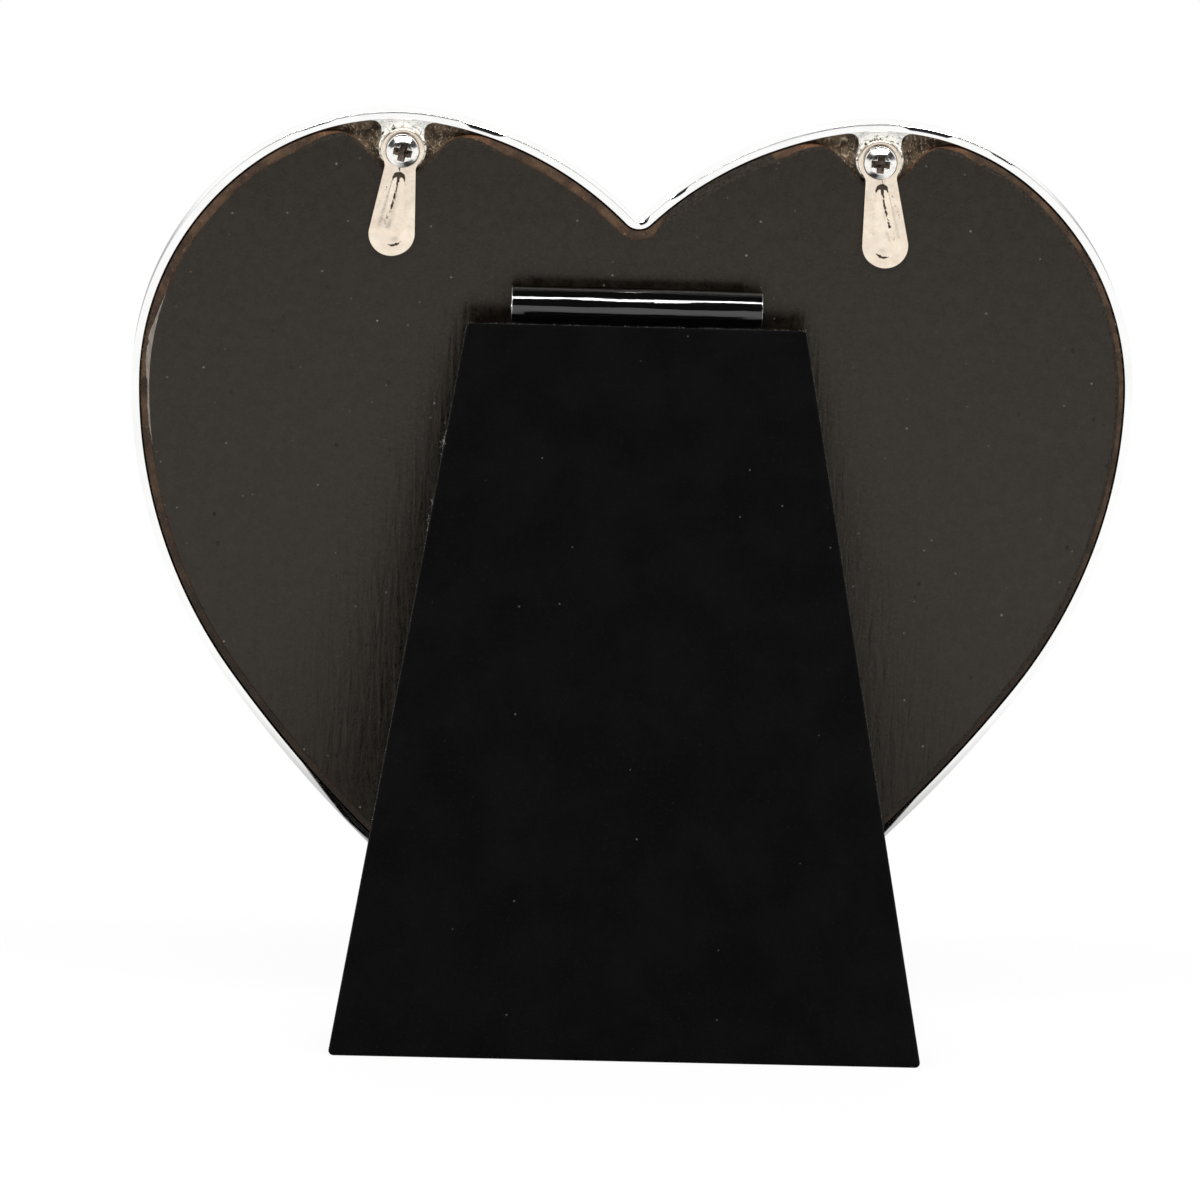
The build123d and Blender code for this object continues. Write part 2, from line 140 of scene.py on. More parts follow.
# Painted dark reflections on a tab, in millimetres outwards and down from its screw: a cap on the ridge's
# head, its stem, a streak that drifts and widens along the crest, a second streak beside it and a dash round
# the tail, in degrees
cap_drop, cap_radius, cap_hollow_drop, cap_hollow_radius = 4.25, 0.95, 4.85, 0.85
stem_out, stem_half, stem_span = 0.06, 0.2, (3.8, 4.7, 0.25)
streak_drop, streak_out, streak_drift, streak_bend = 4.6, 0.12, 0.03, 0.021
streak_half, streak_growth, streak_share, streak_span = 0.17, 0.03, 0.8, (4.6, 7.6, 5.0)
side_streak_drop, side_streak_out, side_streak_drift, side_streak_half = 4.8, 1.32, 0.29, 0.22
side_streak_share, side_streak_span = 0.3, (5.4, 8.2, 1.2)
dash_radius, dash_half, dash_span = 1.7, 0.27, (8, 34, 24)
screw_radius = 1.25 * MM
screw_root = 1.0 * MM
screw_pitch = 0.45 * MM
screw_seat = 1.0 * MM
screw_end = -4.8 * MM
screw_head_radius = 2.5 * MM
screw_head_height = 1.6 * MM
# Slope of the head's dome in degrees at a few radii
head_slopes = [(0.0, 0), (1.15 * MM, 4), (1.7 * MM, 32.4), (2.25 * MM, 32.4), (2.43 * MM, 60),
               (2.5 * MM, 80)]
screw_turns = {"left": math.radians(12), "right": math.radians(3)}
recess_span = 2.8 * MM
recess_wing = 1.1 * MM
recess_depth = 1.1 * MM
recess_floor_share = 0.5
# Distances from a screw over which the lug's skin gets bright and loses its pores, and over which the
# board's edge turns from a brighter, redder brown, painted light on the bay walls, to its plain brown
boss_dull = (3.1 * MM, 4.4 * MM)
boss_pores = (3.4 * MM, 4.2 * MM)
bay_light_span = (8.5 * MM, 15.0 * MM)

# Hinge and strut, in the strut's own frame
hinge_width = 36.5 * MM
barrel_radius = 2.5 * MM
barrel_wall = 0.6 * MM
barrel_worn_edge = 0.11 * MM
curl_radius = 1.85 * MM
hinge_sheet = 0.5 * MM
slot_half_length = 15.85 * MM
leaf_length = 12.0 * MM
leaf_root = 1.9 * MM
strut_top_width = 49.4 * MM
strut_top_drop = 3.35 * MM
strut_side_angle = math.radians(9.42)
core_front = 0.9 * MM
core_back = -1.1 * MM
velvet = 0.4 * MM
hem_width = 6.0 * MM
strut_corner = 0.7 * MM
velvet_roll = 0.55 * MM
velvet_flat = 1.2 * MM
# Lint: fibres along each side and the top, and the tufts on the left edge, by drop in mm and number
side_fibres = 260
top_fibres = 240
lint_tufts = [(20.5, 14), (22.2, 5), (30.5, 5), (33.0, 5)]

# Light on matt surfaces from all round. Metal mirrors a grey horizon, a dim room on the camera's side
# and a floor that is dim far behind the frame, with painted shadow in an aisle under the strut and round the
# object's foot.
# A span is where a change starts and ends, for some with the values there; an edge is one of sideways
# over depthways
world_fill = 0.42
room_level = 0.02
room_edge = (1.5, 2.4)
room_depth = (-0.34, -0.22)
ceiling_span = (0.75, 0.95)
horizon_span = (0.05, 0.16, 0.45, 1.0)
floor_edge = (0.4, 0.75)
floor_depth = (0.29, 0.36)
strut_shadow_middle = 0.035
strut_shadow_length = (0.025, 0.04)
strut_shadow_width = (0.02, 0.024)
foot_shade = (0.02, 0.11, 0.3, 1.0)
floor_white = (0.16, 0.4, 0.9, 1.0)
floor_half = 4.0
floor_colour = (0.82, 0.82, 0.82, 1)
floor_sink = 0.02 * MM

# Soft lights: place, size, power and whether gloss mirrors them. The camera: what it looks at, how far
# round, up and away it stands, its roll in degrees and its lens
LAMPS = {"key": ((0.0, 1.1, 0.92), (1.7, 0.26), 28, True),
         "front_fill": ((0.0, -1.2, 0.9), (1.0, 0.7), 12, False)}
lamp_aim = (0, 0, 70 * MM)
camera_aim = (4.0 * MM, -3.4 * MM, 64.2 * MM)
camera_around, camera_above, camera_roll = 2.03, 3.16, 1.47
camera_distance = 1200 * MM
camera_lens = 245.3

# The standing frame's own directions and places, from its joints
joints = {joint["name"]: joint for joint in frame["joints"]}
SIDES = {"left": 1, "right": -1}
BACK = Vector(joints["tab_left_turn"]["axis"])
HINGE = Vector(joints["strut_hinge"]["pos_m"])
OPEN = -math.radians(joints["strut_hinge"]["range_deg"][0])


def facing(front, origin):
    """Matrix of a frame with x across, z towards a front and its origin at a place."""
    across = Vector((1, 0, 0))
    upward = front.cross(across)
    turned = Matrix((across, upward, front)).transposed()
    return Matrix.Translation(origin) @ turned.to_4x4()


def heart_point(share):
    """A point of the cavity's outline from its shares of half width and height."""
    return Vector((share[0] * cavity_width / 2, share[1] * cavity_height))


def arc_chain(heading, points):
    """Tangent arcs through points in order: for each its centre, its start and its end."""
    arcs = []
    for start, end in zip(points, points[1:]):
        chord = end - start
        across = Vector((-heading.y, heading.x))
        arcs.append((start + across * (chord.dot(chord) / (2 * chord.dot(across))), start, end))
        chord.normalize()
        heading = chord * (2 * chord.dot(heading)) - heading
    return arcs


LOWER = arc_chain(Vector((0, -1)), [heart_point(widest_share), heart_point(flank_share), Vector((0, 0))])
UPPER = arc_chain(Vector((0, 1)), [heart_point(widest_share), heart_point(shoulder_share),
                                   heart_point(crown_share), heart_point(notch_share)])


def along_arc(centre, start, end, steps):
    """Points on the short arc from a start towards an end, without the end."""
    first = math.atan2(start.y - centre.y, start.x - centre.x)
    last = math.atan2(end.y - centre.y, end.x - centre.x)
    turn = (last - first + math.pi) % math.tau - math.pi
    radius = (start - centre).length
    angles = [first + turn * i / steps for i in range(steps)]
    return [centre + Vector((math.cos(a), math.sin(a))) * radius for a in angles]


def grown(point, centre, grow):
    """A point moved away from a centre by a distance."""
    return point + (point - centre).normalized() * grow


def heart_half(grow):
    """The right half of the cavity's outline grown by a distance, from the tip up to the notch."""
    centre, _, tip = LOWER[1]
    reach = (tip - centre).length + grow
    bend = max(tip_round + grow, inner_tip_round)
    tip_centre = Vector((0, centre.y - math.sqrt((reach - bend) ** 2 - centre.x ** 2)))
    touch = centre + (tip_centre - centre).normalized() * reach
    inner, crown, notch = UPPER[2]
    inner_reach = (notch - inner).length
    dip_centre = Vector((0, inner.y + math.sqrt((inner_reach + notch_round) ** 2 - inner.x ** 2)))
    join = inner + (dip_centre - inner).normalized() * (inner_reach + grow)
    low = dip_centre - Vector((0, notch_round - grow))
    flank = grown(LOWER[0][2], LOWER[0][0], grow)
    widest = grown(LOWER[0][1], LOWER[0][0], grow)
    shoulder = grown(UPPER[0][2], UPPER[0][0], grow)
    crown = grown(crown, inner, grow)
    stretches = [
        (tip_centre, tip_centre - Vector((0, bend)), touch, 14),
        (centre, touch, flank, 72), (LOWER[0][0], flank, widest, 44), (UPPER[0][0], widest, shoulder, 40),
        (UPPER[1][0], shoulder, crown, 32), (inner, crown, join, 36), (dip_centre, join, low, 14),
    ]
    points = []
    for hub, start, end, steps in stretches:
        points += along_arc(hub, start, end, steps)
    return points + [low]


def heart_loop(grow):
    """The whole outline grown by a distance, as one closed round of points."""
    right = heart_half(grow)
    return right + [Vector((-p.x, p.y)) for p in reversed(right[1:-1])]


def edge_point(x, grow=0.0):
    """Point of the grown upper edge at a distance from the heart's axis, and the way outwards there."""
    for centre, start, end in UPPER:
        radius = (start - centre).length
        growth = (radius + grow) / radius
        if (end.x - centre.x) * growth <= x - centre.x <= (start.x - centre.x) * growth:
            point = Vector((x, centre.y + math.sqrt((radius + grow) ** 2 - (x - centre.x) ** 2)))
            return point, (point - centre).normalized()


SCREW_X = heart_point(crown_share).x + screw_outset
SCREW_Y = edge_point(SCREW_X)[0].y - screw_drop
HEART = facing(-BACK, Vector((0, 0, 0)))
HEART.translation = (Vector(joints["tab_left_turn"]["pos_m"])
                     - HEART.to_3x3() @ Vector((SCREW_X, SCREW_Y, 0)))
STRUT = Matrix.Translation(HINGE) @ Matrix.Rotation(OPEN, 4, "X") @ HEART.to_3x3().to_4x4()


def at_screw(side):
    """Matrix of a frame at one side's screw, with z towards the front."""
    return HEART @ Matrix.Translation((side * SCREW_X, SCREW_Y, 0))


# Mesh helpers

def share_of(value):
    """A value held between 0 and 1."""
    return max(0.0, min(1.0, value))


def rectangle(half, low, high):
    """Corners of a rectangle about the middle, between two heights."""
    return [(-half, low), (half, low), (half, high), (-half, high)]


def band(count, row, after):
    """Faces of a closed band between two rows of as many points."""
    first, second = row * count, after * count
    return [(first + i, first + (i + 1) % count, second + (i + 1) % count, second + i) for i in range(count)]


def rounded_path(corners):
    """A closed path through corners, each an x, a y, a radius and its number of steps."""
    path = []
    spots = [Vector(corner[:2]) for corner in corners]
    for i, (_, _, radius, steps) in enumerate(corners):
        before = (spots[i - 1] - spots[i]).normalized()
        after = (spots[(i + 1) % len(spots)] - spots[i]).normalized()
        half = before.angle(after) / 2
        hub = spots[i] + (before + after).normalized() * (radius / math.sin(half))
        start, end = (spots[i] + way * (radius / math.tan(half)) for way in (before, after))
        path += along_arc(hub, start, end, steps) + [end]
    return path


def placed(name, data):
    """A new object in the scene."""
    thing = bpy.data.objects.new(name, data)
    bpy.context.scene.collection.objects.link(thing)
    return thing


def put(name, vertices, faces, place, materials, kinds=None, smooth=35):
    """A mesh object in the standing frame, from vertices in a piece's own frame."""
    mesh = bpy.data.meshes.new(name)
    mesh.from_pydata([place @ Vector(v) for v in vertices], [], faces)
    for material in materials:
        mesh.materials.append(material)
    if kinds is not None:
        mesh.polygons.foreach_set("material_index", kinds)
    thing = placed(name, mesh)
    tidy(thing, smooth)
    return thing


def tidy(thing, smooth=35):
    """Merges double points, turns the faces outwards and shades the mesh smooth up to an angle."""
    work = bmesh.new()
    work.from_mesh(thing.data)
    bmesh.ops.remove_doubles(work, verts=work.verts, dist=0.002 * MM)
    bmesh.ops.recalc_face_normals(work, faces=work.faces)
    work.to_mesh(thing.data)
    work.free()
    thing.data.shade_smooth()
    thing.data.set_sharp_from_angle(angle=math.radians(smooth))


def settle(thing):
    """Applies a mesh object's modifiers."""
    made = bpy.data.meshes.new_from_object(thing.evaluated_get(bpy.context.evaluated_depsgraph_get()))
    thing.modifiers.clear()
    thing.data = made


def combine(thing, other, how):
    """Joins another solid to a solid, or cuts it away, and deletes the other."""
    step = thing.modifiers.new(how, "BOOLEAN")
    step.operation, step.solver, step.object = how, "EXACT", other
    settle(thing)
    bpy.data.objects.remove(other)


def bevelled(thing, width, segments=2, angle=30):
    """Rounds a mesh object's sharp edges."""
    step = thing.modifiers.new("bevel", "BEVEL")
    step.width, step.segments, step.limit_method = width, segments, "ANGLE"
    step.angle_limit = math.radians(angle)
    settle(thing)


def prism(name, outline, low, high, place, materials, kinds=(0, 0, 0)):
    """A closed solid of an outline between two levels, with a material for low, high and sides."""
    count = len(outline)
    vertices = [(p[0], p[1], level) for level in (low, high) for p in outline]
    faces = [list(range(count)), list(range(count, 2 * count))] + band(count, 0, 1)
    marks = [kinds[0], kinds[1]] + [kinds[2]] * count
    return put(name, vertices, faces, place, materials, marks)


def lathe(name, profile, steps, place, materials):
    """A solid of revolution from a profile of radii and levels that starts and ends on its axis."""
    vertices, faces = [], []
    for radius, level in profile:
        for i in range(steps):
            turn = math.tau * i / steps
            vertices.append((radius * math.cos(turn), radius * math.sin(turn), level))
    for row in range(len(profile) - 1):
        faces += band(steps, row, row + 1)
    return put(name, vertices, faces, place, materials)


# Materials

class Tree:
    """Short calls for the nodes of a material or of the world."""

    def __init__(self, tree, coordinates):
        self.tree = tree
        self.where = self.node("TexCoord").outputs[coordinates]

    def node(self, kind, inputs=None, **settings):
        """Adds a node, with its settings and its input values or links."""
        made = self.tree.nodes.new("ShaderNode" + kind)
        for key, value in settings.items():
            setattr(made, key, value)
        for key, value in (inputs or {}).items():
            self.give(made.inputs[key], value)
        return made

    def give(self, socket, value):
        """Links an input to another node's output, or sets its value."""
        if isinstance(value, bpy.types.NodeSocket):
            self.tree.links.new(value, socket)
        else:
            socket.default_value = value

    def ramp(self, value, low, high, out_low=0.0, out_high=1.0):
        """A value mapped smoothly from one span to another."""
        inputs = {"Value": value, "From Min": low, "From Max": high, "To Min": out_low, "To Max": out_high}
        return self.node("MapRange", inputs, interpolation_type="SMOOTHSTEP").outputs["Result"]

    def math(self, how, first, second=0.0):
        """One step of arithmetic."""
        return self.node("Math", {0: first, 1: second}, operation=how).outputs[0]

    def blend(self, share, first, second):
        """Two values mixed by a share."""
        return self.node("Mix", {"Factor": share, "A": first, "B": second}).outputs["Result"]

    def parts(self):
        """X, Y and Z of its coordinates."""
        return self.node("SeparateXYZ", {0: self.where}).outputs

    def aside(self, parts):
        """How far a direction or place lies to the side of the middle plane, as a share of its depth."""
        return self.math("DIVIDE", self.math("ABSOLUTE", parts["X"]), self.math("MAXIMUM", parts["Y"], 0.01))

    def rays(self):
        """Whether a ray comes from the camera, from gloss or through something clear."""
        path = self.node("LightPath").outputs
        return [path[f"Is {kind} Ray"] for kind in ("Camera", "Glossy", "Transmission")]


class Finish(Tree):
    """A material whose colour, roughness and relief follow noise on the piece."""

    def __init__(self, name, **values):
        self.material = bpy.data.materials.new(name)
        self.material.use_nodes = True
        super().__init__(self.material.node_tree, "Object")
        self.shader = self.tree.nodes["Principled BSDF"]
        for key, value in values.items():
            self.feed(key.replace("_", " "), value)

    def feed(self, key, value):
        """Gives the shader a value or another node's output."""
        self.give(self.shader.inputs[key], value)

    def stretched(self, scale):
        """The piece's own coordinates, scaled."""
        return self.node("Mapping", {"Vector": self.where, "Scale": scale}).outputs["Vector"]

    def noise(self, scale, detail=4.0, roughness=0.55, distortion=0.0):
        """Noise between 0 and 1, with one scale or one for each axis."""
        even = not isinstance(scale, tuple)
        inputs = {"Vector": self.where if even else self.stretched(scale), "Scale": scale if even else 1.0,
                  "Detail": detail, "Roughness": roughness, "Distortion": distortion}
        return self.node("TexNoise", inputs).outputs["Fac"]

    def specks(self, vector, scale, size, patches, span):
        """Round specks, in the patches where a coarser noise lets them show."""
        spots = self.node("TexVoronoi", {"Vector": vector, "Scale": scale}).outputs["Distance"]
        return self.math("MULTIPLY", self.ramp(spots, *size), self.ramp(self.noise(patches, 2.0), *span))

    def near_screws(self, span, out_near, out_far):
        """A value that changes with the distance to the nearer of the two tab screws."""
        away = []
        for side in SIDES:
            spot = joints[f"tab_{side}_turn"]["pos_m"]
            made = self.node("VectorMath", {0: self.where, 1: spot}, operation="DISTANCE")
            away.append(made.outputs["Value"])
        return self.ramp(self.math("MINIMUM", *away), *span, out_near, out_far)

    def mix(self, value, first, second, *span):
        """Two colours mixed by a value, or by where it lies in a span."""
        made = self.node("Mix", data_type="RGBA")
        share = self.ramp(value, *span) if span else value
        for key, kind, given in (("Factor", "VALUE", share), ("A", "RGBA", first), ("B", "RGBA", second)):
            socket = next(s for s in made.inputs if s.name == key and s.type == kind)
            self.give(socket, (*given, 1) if isinstance(given, tuple) else given)
        return next(s for s in made.outputs if s.type == "RGBA")

    def colour(self, value, first, second, *span):
        """Colours the surface with two colours mixed by a value."""
        self.feed("Base Color", self.mix(value, first, second, *span))

    def rough(self, value, *spans):
        """Makes the surface's roughness follow a value."""
        self.feed("Roughness", self.ramp(value, *spans))

    def bump(self, height, depth, strength):
        """Surface relief from a height between 0 and 1, with its depth in millimetres."""
        inputs = {"Height": height, "Distance": depth * MM, "Strength": strength}
        self.feed("Normal", self.node("Bump", inputs).outputs["Normal"])


def grained(name, grain, colours=None, spans=None, relief=None, rough_grain=None, relief_grain=None,
            **values):
    """A material whose colours, roughness and relief follow one grain, or grains of their own."""
    f = Finish(name, **values)
    body = f.noise(*grain)
    if colours:
        f.colour(body, *colours)
    if spans:
        f.rough(f.noise(*rough_grain) if rough_grain else body, *spans)
    if relief:
        f.bump(f.noise(*relief_grain) if relief_grain else body, *relief)
    return f.material


def cast_plate():
    """Plated skin of the cast lugs, white with dark pores that gather round the bosses."""
    f = Finish("cast_plate")
    f.feed("Metallic", f.near_screws(boss_dull, 0.35, 1.0))
    pits = f.noise(2200.0, 6.0, 0.65)
    pores = f.math("ADD", f.noise(1700.0, 4.0, 0.75), f.near_screws(boss_pores, 0.09, 0.0))
    f.colour(pores, (0.97, 0.955, 0.9), (0.06, 0.05, 0.04), 0.61, 0.67)
    f.rough(pits, 0.3, 0.7, 0.12, 0.26)
    f.bump(pits, 0.04, 0.7)
    return f.material


def cast_pocket():
    """Raw cast floor and wall inside the rim, dull grey brown with bright scratches."""
    f = Finish("cast_pocket", Metallic=0.5)
    line_mark = f.noise((1300, 700, 900), 5.0, 0.7, 2.2)
    dull = f.mix(f.noise(520.0, 6.0, 0.7), (0.045, 0.03, 0.018), (0.2, 0.145, 0.09), 0.35, 0.65)
    f.colour(line_mark, dull, (0.7, 0.58, 0.43), 0.52, 0.68)
    f.rough(line_mark, 0.3, 0.7, 0.62, 0.36)
    f.bump(line_mark, 0.12, 1.0)
    return f.material


def fibre_board():
    """Raw routed fibre board, brown and fuzzy, brighter and redder near the bays as painted light on their
    walls, and darker low down.
    """
    f = Finish("fibre_board", Roughness=0.85, Specular_IOR_Level=0.3)
    fibres = f.noise((2400, 900, 1800), 6.0, 0.7, 0.8)
    body = f.mix(f.noise(300.0, 5.0, 0.65), (0.02, 0.0105, 0.0052), (0.066, 0.036, 0.018), 0.35, 0.7)
    body = f.mix(fibres, body, (0.12, 0.074, 0.042), 0.55, 0.75)
    body = f.mix(f.parts()["Z"], body, (0.012, 0.008, 0.005), 0.05, 0.1, 0.75, 0.0)
    # Brighter, redder colour near the bays: painted light on the bay walls
    bay_lit = f.mix(fibres, (0.06, 0.024, 0.01), (0.2, 0.088, 0.036), 0.35, 0.65)
    f.colour(f.near_screws(bay_light_span, 0.8, 0.0), body, bay_lit)
    f.bump(fibres, 0.12, 0.9)
    return f.material


def charcoal_paper():
    """Near black film paper seen mostly by its gloss, with upright ripples, specks and nicks."""
    f = Finish("charcoal_paper", Specular_IOR_Level=0.5, Specular_Tint=(1.0, 0.92, 0.8, 1))
    ripple = f.noise((1000, 240, 110), 3.0, 0.5, 0.6)
    mottle = f.noise(620.0, 5.0, 0.65)
    weave = f.noise(2100.0, 4.0, 0.6)
    body = f.mix(mottle, (0.0028, 0.0017, 0.0008), (0.0072, 0.005, 0.0032), 0.35, 0.7)
    dust = f.specks(f.where, 520.0, (0.12, 0.05), 610.0, (0.5, 0.66))
    dent = f.specks(f.stretched((1.3, 1, 1)), 260.0, (0.12, 0.06), 190.0, (0.52, 0.62))
    f.colour(dent, f.mix(dust, body, (0.1, 0.1, 0.092)), (0.001, 0.001, 0.001))
    gloss = f.math("ADD", f.ramp(weave, 0.3, 0.7, 0.22, 0.34), f.ramp(mottle, 0.35, 0.7, 0.0, 0.06))
    f.feed("Roughness", f.math("ADD", gloss, f.math("MULTIPLY", dent, 0.5)))
    relief = f.math("ADD", ripple, f.math("MULTIPLY", weave, 0.3))
    f.bump(f.math("SUBTRACT", relief, f.math("MULTIPLY", dent, 0.6)), 0.06, 1.0)
    return f.material


def satin_nickel():
    """Champagne coloured satin plate with a soft mottle, dark and dull where dark reflections are painted
    on.
    """
    f = Finish("satin_nickel")
    mottle = f.noise(520.0, 6.0, 0.68)
    # Painted dark reflections on the tabs: darker, duller and less metallic where they lie
    painted_reflection = f.node("Attribute", attribute_name="painted_reflection").outputs["Fac"]
    broken = f.math("ADD", painted_reflection, f.ramp(f.noise(2600.0, 3.0, 0.6), 0.35, 0.65, -0.3, 0.3))
    painted_reflection = f.ramp(broken, 0.3, 0.66)
    plate = f.mix(mottle, (0.97, 0.86, 0.715), (0.9, 0.765, 0.61), 0.35, 0.65)
    plate = f.mix(f.noise(230.0, 3.0), plate, (0.87, 0.75, 0.63), 0.4, 0.7)
    f.colour(painted_reflection, plate, (0.03, 0.022, 0.017))
    f.feed("Metallic", f.ramp(painted_reflection, 0.0, 1.0, 1.0, 0.0))
    f.feed("Specular IOR Level", f.ramp(painted_reflection, 0.0, 1.0, 0.5, 0.05))
    gloss = f.ramp(mottle, 0.3, 0.75, 0.13, 0.2)
    f.feed("Roughness", f.math("ADD", gloss, f.ramp(painted_reflection, 0.0, 1.0, 0.0, 0.3)))
    f.bump(f.noise(1500.0, 5.0, 0.6), 0.02, 0.6)
    return f.material


def black_velvet():
    """Short black pile: almost no gloss, a faint nap and stray pale lint specks."""
    f = Finish("black_velvet", Roughness=0.95, Specular_IOR_Level=0.06, Sheen_Weight=0.125,
               Sheen_Roughness=0.35, Sheen_Tint=(0.8, 0.85, 0.85, 1))
    pile = f.noise(3800.0, 3.0, 0.7)
    body = f.mix(f.noise(120.0), (0.0007, 0.0007, 0.0007), (0.0015, 0.0016, 0.0015), 0.3, 0.7)
    body = f.mix(pile, body, (0.0055, 0.0058, 0.0055), 0.55, 0.8)
    f.colour(f.specks(f.where, 330.0, (0.065, 0.03), 300.0, (0.52, 0.64)), body, (0.05, 0.052, 0.05))
    f.bump(pile, 0.12, 1.0)
    return f.material


# Bright plate with a faint handling haze and fine polishing lines
PLATE = grained("silver_plate", (160.0, 5.0), ((0.985, 0.985, 0.98), (0.93, 0.93, 0.92), 0.35, 0.75),
                (0.3, 0.8, 0.045, 0.11), (0.02, 0.35), (420.0,), ((90, 90, 60), 3.0), Metallic=1.0,
                Roughness=0.07)
# The paper's cut and bent edges, fuzzy and without gloss
TORN = grained("torn_paper", (2600.0, 5.0, 0.7), ((0.011, 0.009, 0.007), (0.034, 0.028, 0.022), 0.35, 0.7),
               relief=(0.05, 0.8), Roughness=0.9, Specular_IOR_Level=0.1)
# Painted glint on the paper's edge where it bends over the bevel at the left
FILM_GLINT = grained("painted_film_glint", ((2500, 2500, 300), 4.0, 0.6),
               ((0.1, 0.085, 0.072), (0.175, 0.15, 0.128), 0.3, 0.7), relief=(0.03, 0.6), Roughness=0.4)
# Bright screw plating with fine handling marks, and painted dark brown shade in the screws' recesses
BRIGHT = grained("bright_nickel", (1600.0, 5.0, 0.6), ((0.96, 0.94, 0.91), (0.7, 0.64, 0.57), 0.45, 0.8),
                 (0.3, 0.8, 0.12, 0.24), (0.02, 0.5), Metallic=1.0)
RECESS_SHADE = grained("painted_recess_shade", (2600.0, 5.0, 0.7), ((0.05, 0.036, 0.026), (0.2, 0.155, 0.12), 0.35, 0.7),
                 (0.3, 0.7, 0.45, 0.65), (0.04, 0.7), Metallic=0.7)
# Glossy black lacquer, slightly uneven, and the same where it is thin and dull, on the hinge's leaf
LACQUER = grained("black_lacquer", (500.0,), None, (0.3, 0.8, 0.03, 0.09), (0.05, 0.4),
                  relief_grain=((300, 800, 800), 3.0, 0.5), Base_Color=(0.0012, 0.0012, 0.0013, 1), IOR=1.75)
DULL = grained("dull_lacquer", (900.0,), ((0.002, 0.002, 0.002), (0.006, 0.006, 0.006)), relief=(0.03, 0.6),
               relief_grain=(1800.0,), Roughness=0.75, Specular_IOR_Level=0.15)
# Bright cut ends of the barrel, where the lacquer has chipped
STEEL = grained("bare_steel", (1500.0, 4.0, 0.7), ((0.8, 0.8, 0.78), (0.01, 0.01, 0.01), 0.5, 0.62),
                (0.3, 0.7, 0.25, 0.45), (0.02, 0.5), Metallic=1.0)
# Pale lint caught on the velvet
LINT = grained("lint_fibre", (900.0,), ((0.2, 0.2, 0.19), (0.42, 0.42, 0.4)), Roughness=0.9,
               Specular_IOR_Level=0.1)
# Matt black lining paper with a fine laid grain
LINING = grained("black_paper", ((2200, 400, 300), 5.0, 0.6),
                 ((0.01, 0.01, 0.0105), (0.022, 0.022, 0.022), 0.3, 0.75), relief=(0.05, 0.6), Roughness=0.8,
                 Specular_IOR_Level=0.25)
# Grey board with flecks
CARD = grained("grey_card", (1400.0, 5.0, 0.7), ((0.3, 0.28, 0.25), (0.16, 0.15, 0.135), 0.4, 0.75),
               relief=(0.06, 0.6), Roughness=0.9)
# Blank insert with a pearl coating and a faint tooth
INSERT = grained("photo_paper", (45.0, 3.0), ((0.79, 0.775, 0.74), (0.75, 0.735, 0.7)), relief=(0.02, 0.5),
                 relief_grain=(1900.0,), Roughness=0.42, Specular_IOR_Level=0.4)
# Bright drawn wire
WIRE = grained("staple_wire", ((400, 3000, 3000), 4.0, 0.6), ((0.62, 0.61, 0.58), (0.45, 0.44, 0.42)),
               (0.3, 0.7, 0.25, 0.4), (0.02, 0.5), Metallic=1.0)
# Clear pane with a faint green body and light smears
GLASS = grained("clear_glass", (24.0, 5.0, 0.7), None, (0.55, 0.8, 0.0, 0.05),
                Base_Color=(0.975, 0.99, 0.985, 1), IOR=1.5, Transmission_Weight=1.0)
VELVET, NICKEL = black_velvet(), satin_nickel()
CASTING = [PLATE, cast_pocket(), cast_plate()]


# Pieces

def casting_section(edge_round):
    """The rim's section as growth and level pairs, with a given rounding of its outer back edge."""
    creases = [
        (0, rim_back), (0, board_front), (-shelf_width, board_front), (-shelf_width, seat_front),
        (-window_inset, seat_front), (-window_inset, frame_front - bevel_drop),
    ]
    corners = [(rim_wall, rim_back, edge_round, edge_steps)]
    corners += [(grow, level, crease_round, crease_steps) for grow, level in creases]
    corners += [(bevel_width - window_inset, frame_front, 2 * crease_round, 4),
                (rim_wall, frame_front, dome_round, 18)]
    return rounded_path(corners) + [(rim_wall, rim_back + worn_depth)]


# Rows of the section's faces that are left raw: the shelf's floor and the wall of the glass seat
POCKET_ROWS = range(edge_steps + 1 + crease_steps + 1, edge_steps + 1 + 4 * (crease_steps + 1))


def polish(spot):
    """Rounding of the rim's back edge at a place: hand polishing wore it more in a few spots."""
    rounding = 0.03 * MM + 0.05 * MM * max(0.0, noise.noise(Vector((spot.x, spot.y, 0)) * 60))
    if spot.y > cavity_height / 2:
        for place, reach, depth in worn_spots:
            rounding = max(rounding, depth * share_of(4.0 * (1 - abs(spot.x - place) / reach)))
    return min(rounding, 0.9 * rim_wall)


def rim_ring():
    """The casting's heart shaped ring."""
    inner, outer = heart_loop(0), heart_loop(rim_wall)
    plain = casting_section(rim_edge_round)
    count, rows = len(outer), len(plain)
    roundings = [polish(spot) for spot in outer]
    sections = [casting_section(rounding) for rounding in roundings]
    loops = {}
    vertices = []
    for row, (grow, _) in enumerate(plain):
        if grow < 0:
            key = round(grow / MM, 6)
            loops[key] = loops.get(key) or heart_loop(grow)
            points = loops[key]
        for i in range(count):
            share, level = sections[i][row][0] / rim_wall, sections[i][row][1]
            if row <= edge_steps:
                level = rim_back + (level - rim_back) * min(1.0, worn_depth / roundings[i])
            elif row == rows - 1:
                level = rim_back + min(roundings[i], worn_depth) + 0.03 * MM
            spot = inner[i].lerp(outer[i], share) if grow >= 0 else points[i]
            vertices.append((spot.x, spot.y, level))
    faces, kinds = [], []
    for row in range(rows):
        faces += band(count, row, (row + 1) % rows)
        kinds += [1 if row in POCKET_ROWS else 0] * count
    return put("rim_casting", vertices, faces, HEART, CASTING, kinds, smooth=50)


